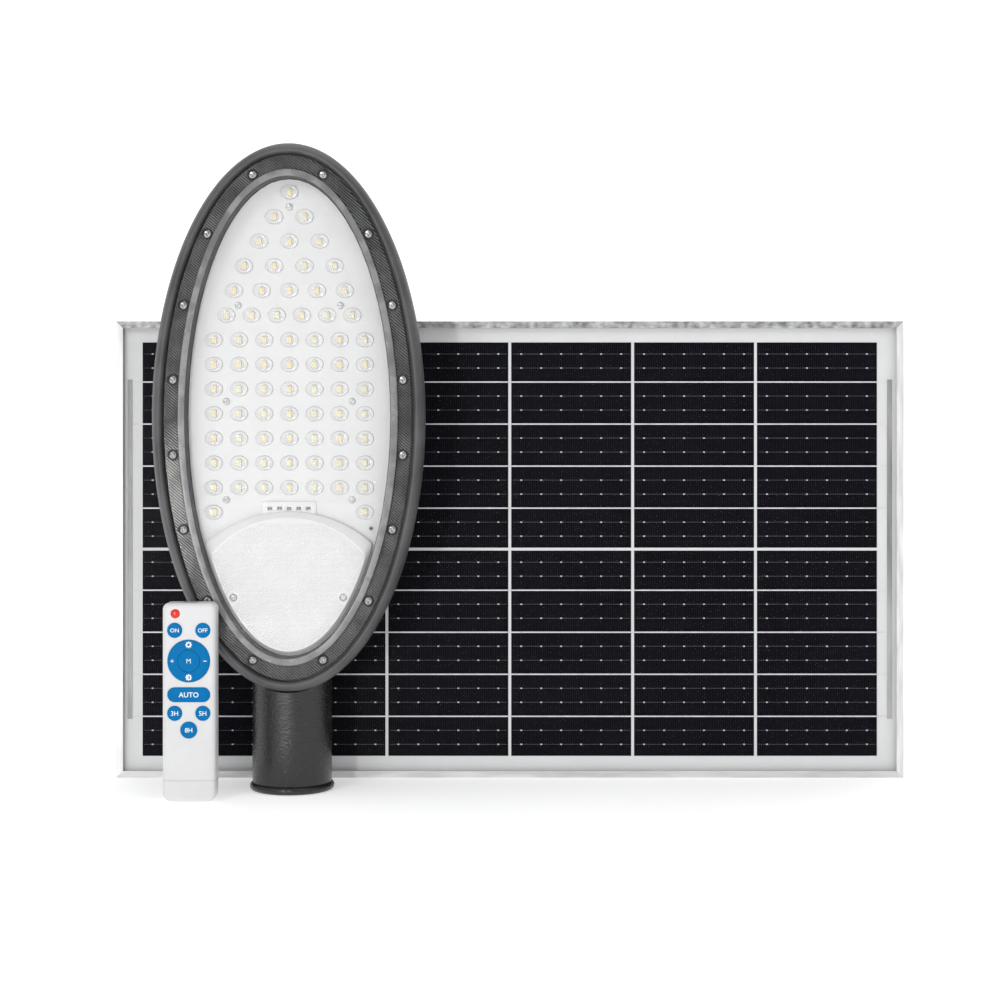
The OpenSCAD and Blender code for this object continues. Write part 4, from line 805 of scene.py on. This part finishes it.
def glandShapes(top, place):
    # hexagon under the wall, thread up into it, ribbed dome nut below with the seal's mouth
    x, y, z = place
    hexagon = hexRings([(7.6, -5), (8.8, -4.7), (9.0, -4.2), (9.0, -0.6), (8.6, -0.15), (7.6, 0)], 0.975)
    bore = [(gland["bore"], top), (gland["thread"], top), (gland["thread"], -12), (gland["bore"], -12)]
    t = np.linspace(0, 2 * np.pi, 144, endpoint=False)
    nut = np.array([(5.3, -16), (6.2, -15.9), (7.2, -14.6), (8.0, -12.6), (8.3, -11.4), (8.3, -6),
                    (8.0, -5.3),
                    (6.1, -5.3), (6.1, -11), (4.6, -13), (4.6, -16)])
    rib = np.where((nut[:, :1] > 7.9), 0.16 * np.cos(gland["ribs"] * t), 0)
    r = nut[:, :1] + rib
    nutRings = np.stack([r * np.cos(t), r * np.sin(t), nut[:, 1:] + 0 * t], -1)
    seal = [(gland["bore"], -15.6), (4.5, -15.6), (4.5, -12.2), (gland["bore"], -12.2)]
    shift = np.array([x, y, z])
    body = [skin(hexagon + shift), turned(bore, "z", shift, 40, True)]
    cap = [skin(nutRings + shift, True), turned(seal, "z", shift, 40, True)]
    return body, cap


def makeGland(name, node, body, place):
    fixed, cap = glandShapes(nodeBox(node)[1][2] - place[2], place)
    makePiece(name, fixed, "darkMoulding", body, [node], 30)
    makePiece(name + "Nut", cap, "darkMoulding", body, [node + "_nut"], 30)


makeGland("lampGland", "lamp_gland", "lamp", (-42, 22, 128))
print("lamp gland ready")


# solar panel

waferLow = nodeBox("solar_cells")[0]
panel = {"columns": 6, "rows": 2, "cellWide": 97.0, "cellHigh": 166.0, "gap": 2.4,
         "linesPerCell": 15, "lineHigh": 0.22, "pads": 6, "padWide": 1.5, "padHigh": 0.9}
yWafer = waferLow[1]
cellX = waferLow[0] + (panel["cellWide"] + panel["gap"]) * np.arange(panel["columns"])
cellZ = waferLow[2] + (panel["cellHigh"] + panel["gap"]) * np.arange(panel["rows"])


ribbonLow, ribbonHigh = nodeBox("cell_ribbons")
ribbonPitch = (ribbonHigh[2] - ribbonLow[2] - 1 - panel["cellHigh"] - panel["gap"]) / 3


def busLineShapes():
    # thin lines a third of the ribbon pitch apart about the cell's middle, the ribbons' own heights left out
    steps = np.arange(panel["linesPerCell"] - 1) - (panel["linesPerCell"] - 2) / 2
    steps = steps[np.mod(steps - 1.5, 3) != 0]
    x, z, k = np.meshgrid(cellX, cellZ, panel["cellHigh"] / 2 + steps * ribbonPitch / 3, indexing="ij")
    places = np.stack([x.ravel(), np.full(x.size, yWafer), (z + k).ravel()], -1)
    line = roundBlock((1.2, -0.03, -panel["lineHigh"] / 2),
                      (panel["cellWide"] - 1.2, 0.01, panel["lineHigh"] / 2),
                      0.05, 0.01, steps=2, around=2)
    padX = (np.arange(panel["pads"]) + 0.5) / panel["pads"] * panel["cellWide"]
    padPlaces = (places[:, None] + np.stack([padX, 0 * padX, 0 * padX], -1)[None]).reshape(-1, 3)
    half = np.array([panel["padWide"] / 2, 0, panel["padHigh"] / 2])
    corners = np.array([(-1, 0, -1), (1, 0, -1), (1, 0, 1), (-1, 0, 1)]) * half
    pad = skin(np.stack([corners * 0.9 + [0, -0.05, 0], corners + [0, 0.01, 0]]))
    return repeat(line, places), repeat(pad, padPlaces)


busLines, busPads = busLineShapes()
makePiece("busLines", [busLines], "lineSilver", "panel", (), 30)
makePiece("busPads", [busPads], "padSilver", "panel", (), 30)
print("solar cells ready")

glassLow, glassHigh = nodeBox("panel_glass")
makePiece("panelGlass", [roundBlock(glassLow, glassHigh - [0, 0.08, 0], 0.6, 0.3)], "panelGlass", "panel",
          ["panel_glass"], 30)

# the frame bars take the aluminium copies that carry painted shade on the top bar and painted light on the
# side bars and the foot
for node, paint in {
    "frame_top": "frameTopAluminiumPaintedShade", "frame_bottom": "frameFootAluminiumPaintedLight",
    "frame_left": "frameSideAluminiumPaintedLight", "frame_right": "frameSideAluminiumPaintedLight", "corner_keys": "keyAluminium",
    "solar_cells": "solarWafer", "cell_ribbons": "ribbonTin", "end_ribbons": "endRibbonTin",
    "back_sheet": "sheetWhite", "edge_seal": "sealAdhesive", "junction_box": "darkMoulding",
    "bypass_diodes": "darkMoulding", "led_board": "boardMask",
    "charge_leds": "printGrey", "battery_cells": "cellWrap", "battery_tray": "trayMoulding",
    "battery_links": "contactNickel", "controller_board": "boardGreen", "controller_parts": "darkMoulding",
    "cap_contact": "contactNickel", "remote_board": "boardGreen", "key_mat": "siliconePad",
    "remote_batteries": "dryCellWrap", "battery_springs": "contactNickel", "ir_window": "emitterEpoxy",
    "ir_emitter": "emitterEpoxy", "nav_pad": "siliconePad",
}.items():
    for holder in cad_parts[node].material_slots:
        holder.material = finish[paint]

lidLow, lidHigh = nodeBox("junction_lid")
lid = roundBlock(lidLow, lidHigh, 4, 0.7)
lidRaise = roundBlock(lidLow + [12, 1, 9], lidHigh + [-12, 0.01, -9], 3, 0.4)
makePiece("junctionLid", [lid, lidRaise], "darkMoulding", "panel", ["junction_lid"])
lidScrew = panHead(2.8, 1.6)
lidScrew = outward((lidScrew[0] * [1, -1, 1], lidScrew[1]))
lidCentre = (lidLow + lidHigh) / 2
lidScrewPlaces = [(lidCentre[0] + sx * 40, lidHigh[1] - 0.1, lidCentre[2] + sz * 26)
                  for sx in (-1, 1) for sz in (-1, 1)]
makePiece("junctionLidScrews", [repeat(lidScrew, lidScrewPlaces)], "screwSteel", "panel",
          ["junction_lid_screws"])
glandMiddle = sum(nodeBox("panel_gland")) / 2
makeGland("panelGland", "panel_gland", "panel",
          (glandMiddle[0], glandMiddle[1], nodeBox("junction_box")[0][2]))
print("junction box ready")


# remote control

remoteLow = np.minimum(nodeBox("remote_front")[0], nodeBox("battery_cap")[0])
remoteHigh = np.maximum(nodeBox("remote_back")[1], nodeBox("remote_front")[1])
remote = {"x": (remoteLow[0] + remoteHigh[0]) / 2, "half": (remoteHigh[0] - remoteLow[0]) / 2,
          "front": remoteLow[1], "back": remoteHigh[1], "split": nodeBox("remote_front")[1][1],
          "top": remoteHigh[2], "capTop": nodeBox("battery_cap")[1][2], "seam": 0.2, "wall": 1.6,
          "topCorner": 5.0, "capCorner": 6.5, "fillet": 3.2,
          "tunnel": (13.2, -52.25, -39.85, 3.0, 51.0)}


def remoteRing(inset, low, high, topCorner, lowCorner):
    # outline with round corners where asked for, drawn in by inset at its sides and round ends
    half = remote["half"] - inset
    steps = 9
    parts = []
    for corner, z, sx, start in ((lowCorner, low, 1, -90), (topCorner, high, 1, 0),
                                 (topCorner, high, -1, 90), (lowCorner, low, -1, 180)):
        radius = max(corner - inset, 0.02) if corner else 0.02
        up = 1 if z == high else -1
        end = z - up * inset if corner else z
        angle = np.radians(start + np.linspace(0, 90, steps))
        parts.append(np.stack([sx * (half - radius) + radius * np.cos(angle),
                               end - up * radius + radius * np.sin(angle)], -1))
    return np.concatenate(parts)


def onRemote(place):
    return remote["x"] + place[0], 0, place[1]


def stackRemote(rings):
    # closed surface through outlines (across, up) about the remote's middle line, each at its own depth
    return skin(np.stack([np.stack([remote["x"] + line[:, 0], np.full(len(line), y), line[:, 1]], -1)
                          for line, y in rings]))


def remoteHalf(low, high, topCorner, lowCorner, yOpen, yClosed, inner):
    # cup: out over the face's round edge, along the wall, over the parting line and back inside
    sign = 1 if yClosed > yOpen else -1
    rings = []
    bend = np.radians(np.linspace(84, 0, 9))
    for t in bend:
        drawn = remote["fillet"] * (1 - math.cos(t))
        y = yClosed - sign * remote["fillet"] * (1 - math.sin(t))
        rings.append((remoteRing(drawn, low, high, topCorner, lowCorner), y))
    rings.append((remoteRing(0, low, high, topCorner, lowCorner), yOpen))
    if inner:
        wall = remote["wall"]
        innerLow = low if lowCorner else low + wall
        rings.append((remoteRing(wall, innerLow, high, topCorner, lowCorner), yOpen))
        for t in bend[::-1][::2]:
            drawn = wall + (remote["fillet"] - 1.2) * (1 - math.cos(t))
            y = yClosed - sign * wall - sign * (remote["fillet"] - 1.2) * (1 - math.sin(t))
            rings.append((remoteRing(drawn, innerLow, high, topCorner, lowCorner), y))
    return stackRemote(rings)


def discTool(place, radius, y0, y1, segments=64):
    return turned([(radius, y0), (radius, y1)], centre=onRemote(place), segments=segments)


keyFront = nodeBox("key_on")[0][1]
keyBack = nodeBox("key_on")[1][1]
roundKeys = {
    "keyOn": ("key_on", "key_on_body", 5.6, "ON"), "keyOff": ("key_off", "key_off_body", 5.6, "OFF"),
    "key3h": ("key_3h", "key_3h_body", 5.6, "3H"), "key5h": ("key_5h", "key_5h_body", 5.6, "5H"),
    "key8h": ("key_8h", "key_8h_body", 6.3, "8H"),
}


def placeOf(node):
    low, high = nodeBox(node)
    middle = (low + high) / 2
    return middle[0] - remote["x"], middle[2]


redPlace, navPlace, autoPlace = placeOf("key_red"), placeOf("nav_ring"), placeOf("key_auto")
gap = 0.14
tools = [discTool(placeOf(node), radius + gap, remote["front"] - 1, remote["front"] + 3)
         for node, _, radius, _ in roundKeys.values()]
tools.append(discTool(redPlace, 3.4 + gap, remote["front"] - 1, remote["front"] + 3))
tools.append(discTool(navPlace, 16.0 + gap, remote["front"] - 1, remote["front"] + 3, 96))


def stadium(halfWide, halfHigh, levels, place):
    # rounded outlines stacked front to back; each level is (inset, depth)
    return stackRemote([
        (place + rectRing(halfWide - inset, halfHigh - inset, (halfHigh - inset) * 0.985, 12), y)
        for inset, y in levels])


tools.append(stadium(16.1 + gap, 5.5 + gap, [(0, remote["front"] - 1), (0, remote["front"] + 3)], autoPlace))
tunnelHalf, tunnelFront, tunnelBack, tunnelLow, tunnelHigh = remote["tunnel"]


def rectLoop(half, y0, y1, z):
    corners = np.array([(-half, y0), (half, y0), (half, y1), (-half, y1)], float)
    return np.concatenate([corners + [remote["x"], 0], np.full((4, 1), z)], -1)


def blockTool(half, y0, y1, z0, z1):
    return skin(np.stack([rectLoop(half, y0, y1, z) for z in (z0, z1)]))


windowTool = blockTool(6, remote["split"] - 2.5, remote["split"] + 2.5, remote["top"] - 2.6,
                       remote["top"] + 1)
lowEdge = remote["capTop"] + remote["seam"]
shellEnds = (lowEdge, remote["top"], remote["topCorner"], 0, remote["split"])
tools += [blockTool(tunnelHalf + 0.2, tunnelFront - 0.2, remote["split"] + 1, lowEdge - 1, lowEdge + 2.6),
          windowTool]
frontShell = combine(remoteHalf(*shellEnds, remote["front"], True), (), tools)
makePiece("remoteFront", [frontShell], "remoteWhite", "remote", ["remote_front"], 32)
backTools = [windowTool, blockTool(tunnelHalf, tunnelFront, tunnelBack, lowEdge - 3, tunnelHigh)]
backShell = combine(remoteHalf(*shellEnds, remote["back"], True), (), backTools)
tunnel = skin(np.stack([rectLoop(tunnelHalf, tunnelFront, tunnelBack, tunnelLow),
                        rectLoop(tunnelHalf, tunnelFront, tunnelBack, tunnelHigh),
                        rectLoop(tunnelHalf - 1.2, tunnelFront + 1.2, tunnelBack - 0.2, tunnelHigh),
                        rectLoop(tunnelHalf - 1.2, tunnelFront + 1.2, tunnelBack - 0.2, tunnelLow)]), True)
makePiece("remoteBack", [backShell, tunnel], "remoteWhite", "remote", ["remote_back"], 32)


def capShape():
    # the foot is both halves in one: round edge at the front and at the back, flat top
    rings = []
    for t, face, sign in [(t, remote["front"], 1) for t in np.radians(np.linspace(84, 0, 9))] \
            + [(t, remote["back"], -1) for t in np.radians(np.linspace(0, 84, 9))]:
        drawn = remote["fillet"] * (1 - math.cos(t))
        y = face + sign * remote["fillet"] * (1 - math.sin(t))
        rings.append((remoteRing(drawn, 0, remote["capTop"], 0, remote["capCorner"]), y))
    return stackRemote(rings)


capTool = blockTool(tunnelHalf + 0.3, tunnelFront - 0.3, tunnelBack + 0.3, tunnelLow - 1,
                    remote["capTop"] + 1)
capBody = combine(capShape(), (), [capTool])
makePiece("batteryCap", [capBody], "remoteWhite", "remote_cap", ["battery_cap"], 32)
print("remote shells ready")


def lettering(text, size, place, y, bold=0.0, thick=0.06):
    # letters as a thin flat mesh facing forward, its middle at the place
    curve = bpy.data.curves.new("lettering", "FONT")
    curve.body, curve.size, curve.extrude, curve.offset, curve.resolution_u = text, size, thick / 2, bold, 3
    item = bpy.data.objects.new("lettering", curve)
    bpy.context.scene.collection.objects.link(item)
    depsgraph = bpy.context.evaluated_depsgraph_get()
    depsgraph.update()
    mesh = bpy.data.meshes.new_from_object(item.evaluated_get(depsgraph))
    merged = bmesh.new()
    merged.from_mesh(mesh)
    bmesh.ops.remove_doubles(merged, verts=merged.verts, dist=0.0005)
    merged.to_mesh(mesh)
    merged.free()
    points, faceSets = meshShape(mesh, 1.0)
    bpy.data.objects.remove(item)
    bpy.data.curves.remove(curve)
    bpy.data.meshes.remove(mesh)
    points = points - (points.min(0) + points.max(0)) / 2
    turnedUp = np.stack([points[:, 0] + remote["x"] + place[0], -points[:, 2] + y, points[:, 1] + place[1]],
                        -1)
    return turnedUp, faceSets


def roundKeyLine(radius, front, dome=0.0, bend=0.55):
    # face, round edge, side, flange
    r = np.linspace(0.15, 0.82, 5) * radius
    face = [(x, front + dome * (x / radius) ** 2) for x in r]
    edge = [(radius - bend + bend * math.sin(t), front + dome * 0.9 + bend * (1 - math.cos(t)))
            for t in np.radians(np.linspace(0, 90, 6))]
    return face + edge + [(radius, keyBack - 0.6), (radius + 0.8, keyBack - 0.6), (radius + 0.8, keyBack),
                          (radius * 0.5, keyBack)]


printDepth = keyFront - 0.012
printSides = (printDepth - 0.03, printDepth + 0.03)
for name, (node, body, radius, label) in roundKeys.items():
    place = placeOf(node)
    makePiece(name, [turned(roundKeyLine(radius, keyFront), centre=onRemote(place), segments=56)],
              "keyBlue", body, [node], 30)
    makePiece(name + "Print", [lettering(label, 4.9 if "H" in label else 4.3, place, printDepth, 0.03)],
              "keyPrint", body)
makePiece("keyRed", [turned(roundKeyLine(3.4, keyFront, 0.55), centre=onRemote(redPlace), segments=48)],
          "keyRed", "key_red_body", ["key_red"], 30)
autoLevels = [(5.0, keyFront), (0.55, keyFront), (0.35, keyFront + 0.05), (0.16, keyFront + 0.18),
              (0, keyFront + 0.55),
              (0, keyBack - 0.6), (-0.8, keyBack - 0.6), (-0.8, keyBack), (4, keyBack)]
makePiece("keyAuto", [stadium(16.1, 5.5, autoLevels, autoPlace)], "keyBlue", "key_auto_body",
          ["key_auto"], 30)
makePiece("keyAutoPrint", [lettering("AUTO", 5.4, autoPlace, printDepth, 0.05)], "keyPrint", "key_auto_body")
ringLine = [(8.44, keyFront + 0.3), (8.47, keyFront + 0.08), (8.56, keyFront), (12, keyFront),
            (15.4, keyFront),
            (15.75, keyFront + 0.12), (15.9, keyFront + 0.5), (15.9, keyFront + 3.1), (16.8, keyFront + 3.1),
            (16.8, keyFront + 3.5), (8.44, keyFront + 3.5)]
navCentre = onRemote(navPlace)
makePiece("navRing", [turned(ringLine, centre=navCentre, segments=96, loop=True)], "keyBlue", "nav_ring_body",
          ["nav_ring"], 30)
modeBack = nodeBox("key_mode")[1][1]
modeLine = roundKeyLine(8.28, keyFront, bend=0.12)[:-4] + [
    (8.28, modeBack - 0.5), (5, modeBack - 0.5), (5, modeBack), (2.5, modeBack)]
makePiece("keyMode", [turned(modeLine, centre=navCentre, segments=72)], "keyBlue",
          "key_mode_body", ["key_mode"], 30)


def flatBars(bars, place):
    # thin flat bars on the ring's face: each is (middle across, middle up, length, width, turn)
    bars = np.asarray(bars, float)
    corner = np.array([(-1, -1), (1, -1), (1, 1), (-1, 1)]) / 2
    size = corner[None] * bars[:, None, 2:4]
    c, s = np.cos(bars[:, 4]), np.sin(bars[:, 4])
    x = size[..., 0] * c[:, None] - size[..., 1] * s[:, None] + bars[:, :1]
    z = size[..., 0] * s[:, None] + size[..., 1] * c[:, None] + bars[:, 1:2]
    return [stackRemote([(np.stack([bx, bz], -1) + place, y) for y in printSides]) for bx, bz in zip(x, z)]


def sunShapes(place, filled):
    # ring or half-filled ring with eight short rays
    rays = [(2.25 * math.cos(t), 2.25 * math.sin(t), 0.55, 0.8, t) for t in np.arange(8) * math.pi / 4]
    front, back = printSides
    ring = turned([(1.05, front), (1.95, front), (1.95, back), (1.05, back)], centre=onRemote(place),
                  segments=32, loop=True)
    shapes = flatBars(rays, place) + [ring]
    if filled:
        t = np.linspace(np.pi / 2, 1.5 * np.pi, 14)
        half = np.stack([1.2 * np.cos(t), 1.2 * np.sin(t)], -1)
        shapes.append(stackRemote([(half + place, y) for y in printSides]))
    return shapes


navX, navZ = navPlace
marks = flatBars([(-12.4, 0, 2.5, 0.6, 0), (-12.4, 0, 2.5, 0.6, math.pi / 2), (12.4, 0, 2.5, 0.6, 0)],
                 navPlace)
marks += sunShapes((navX, navZ + 12.3), False) + sunShapes((navX, navZ - 12.3), True)
makePiece("navRingPrint", marks, "keyPrint", "nav_ring_body")
makePiece("keyModePrint", [lettering("M", 4.9, navPlace, printDepth, 0.02)], "keyPrint", "key_mode_body")
print("remote keys ready")


# stage, light and camera

def backdrop():
    # floor, then a quarter circle up into a wall, wide enough for every view
    floor = np.linspace(-6, 2.2, 30)
    bend = np.linspace(0, np.pi / 2, 16)[1:]
    y = np.concatenate([floor, 2.2 + 1.0 * np.sin(bend), [3.2]])
    z = np.concatenate([0 * floor, 1.0 - 1.0 * np.cos(bend), [5.0]])
    x = np.linspace(-6, 6, 20)
    grid = np.stack([x[None] + 0 * y[:, None], y[:, None] + 0 * x[None], z[:, None] + 0 * x[None]], -1)
    item = newObject("backdrop", [(grid.reshape(-1, 3) * 1.0, [gridFaces(len(y), len(x))])], 1.0)
    item.data.shade_smooth()
    paper = grainMaterial("backdropPaper", 0.90, 0.93, 3, 200, (0.8, 0.9), 0.1, 0.1,
                          {"Emission Color": (1, 1, 1, 1), "Emission Strength": 0.42})
    item.data.materials.append(paper)


backdrop()
scene = bpy.context.scene
scene.view_settings.view_transform = "Standard"
world = bpy.data.worlds.new("studio")
scene.world = world
world.use_nodes = True
world.node_tree.nodes["Background"].inputs["Color"].default_value = (0.99, 0.995, 1.0, 1)
world.node_tree.nodes["Background"].inputs["Strength"].default_value = 0.55


def areaLight(name, place, target, size, power, high=None):
    data = bpy.data.lights.new(name, "AREA")
    data.energy = power
    data.size = size
    if high:
        data.shape, data.size_y = "RECTANGLE", high
    item = bpy.data.objects.new(name, data)
    scene.collection.objects.link(item)
    place, target = np.array(place, float), np.array(target, float)
    item.location = place
    down = (target - place) / np.linalg.norm(target - place)
    item.rotation_euler = (math.acos(-down[2]), 0, math.atan2(-down[0], down[1]))


areaLight("keyLight", (-1.1, -1.9, 1.7), (0.1, 0, 0.3), 0.8, 11)
areaLight("fillLight", (1.7, -1.7, 1.0), (0.15, 0, 0.25), 1.2, 3.2)
areaLight("topLight", (0.2, 0.2, 2.2), (0.15, 0.05, 0.2), 1.6, 8)
areaLight("frontStrip", (-0.37, -1.40, 0.10), (0, 0, 0.04), 0.07, 4, 0.30)

camera = {"x": 0.1626, "y": -1.5, "z": 0.280, "lens": 68.98, "shift": -0.0695}
lensData = bpy.data.cameras.new("camera")
lensData.lens, lensData.sensor_width, lensData.shift_y = camera["lens"], 36, camera["shift"]
lensData.clip_start = 0.01
eyePoint = bpy.data.objects.new("camera", lensData)
scene.collection.objects.link(eyePoint)
eyePoint.location = (camera["x"], camera["y"], camera["z"])
eyePoint.rotation_euler = (math.pi / 2, 0, 0)
scene.camera = eyePoint

print("scene ready")
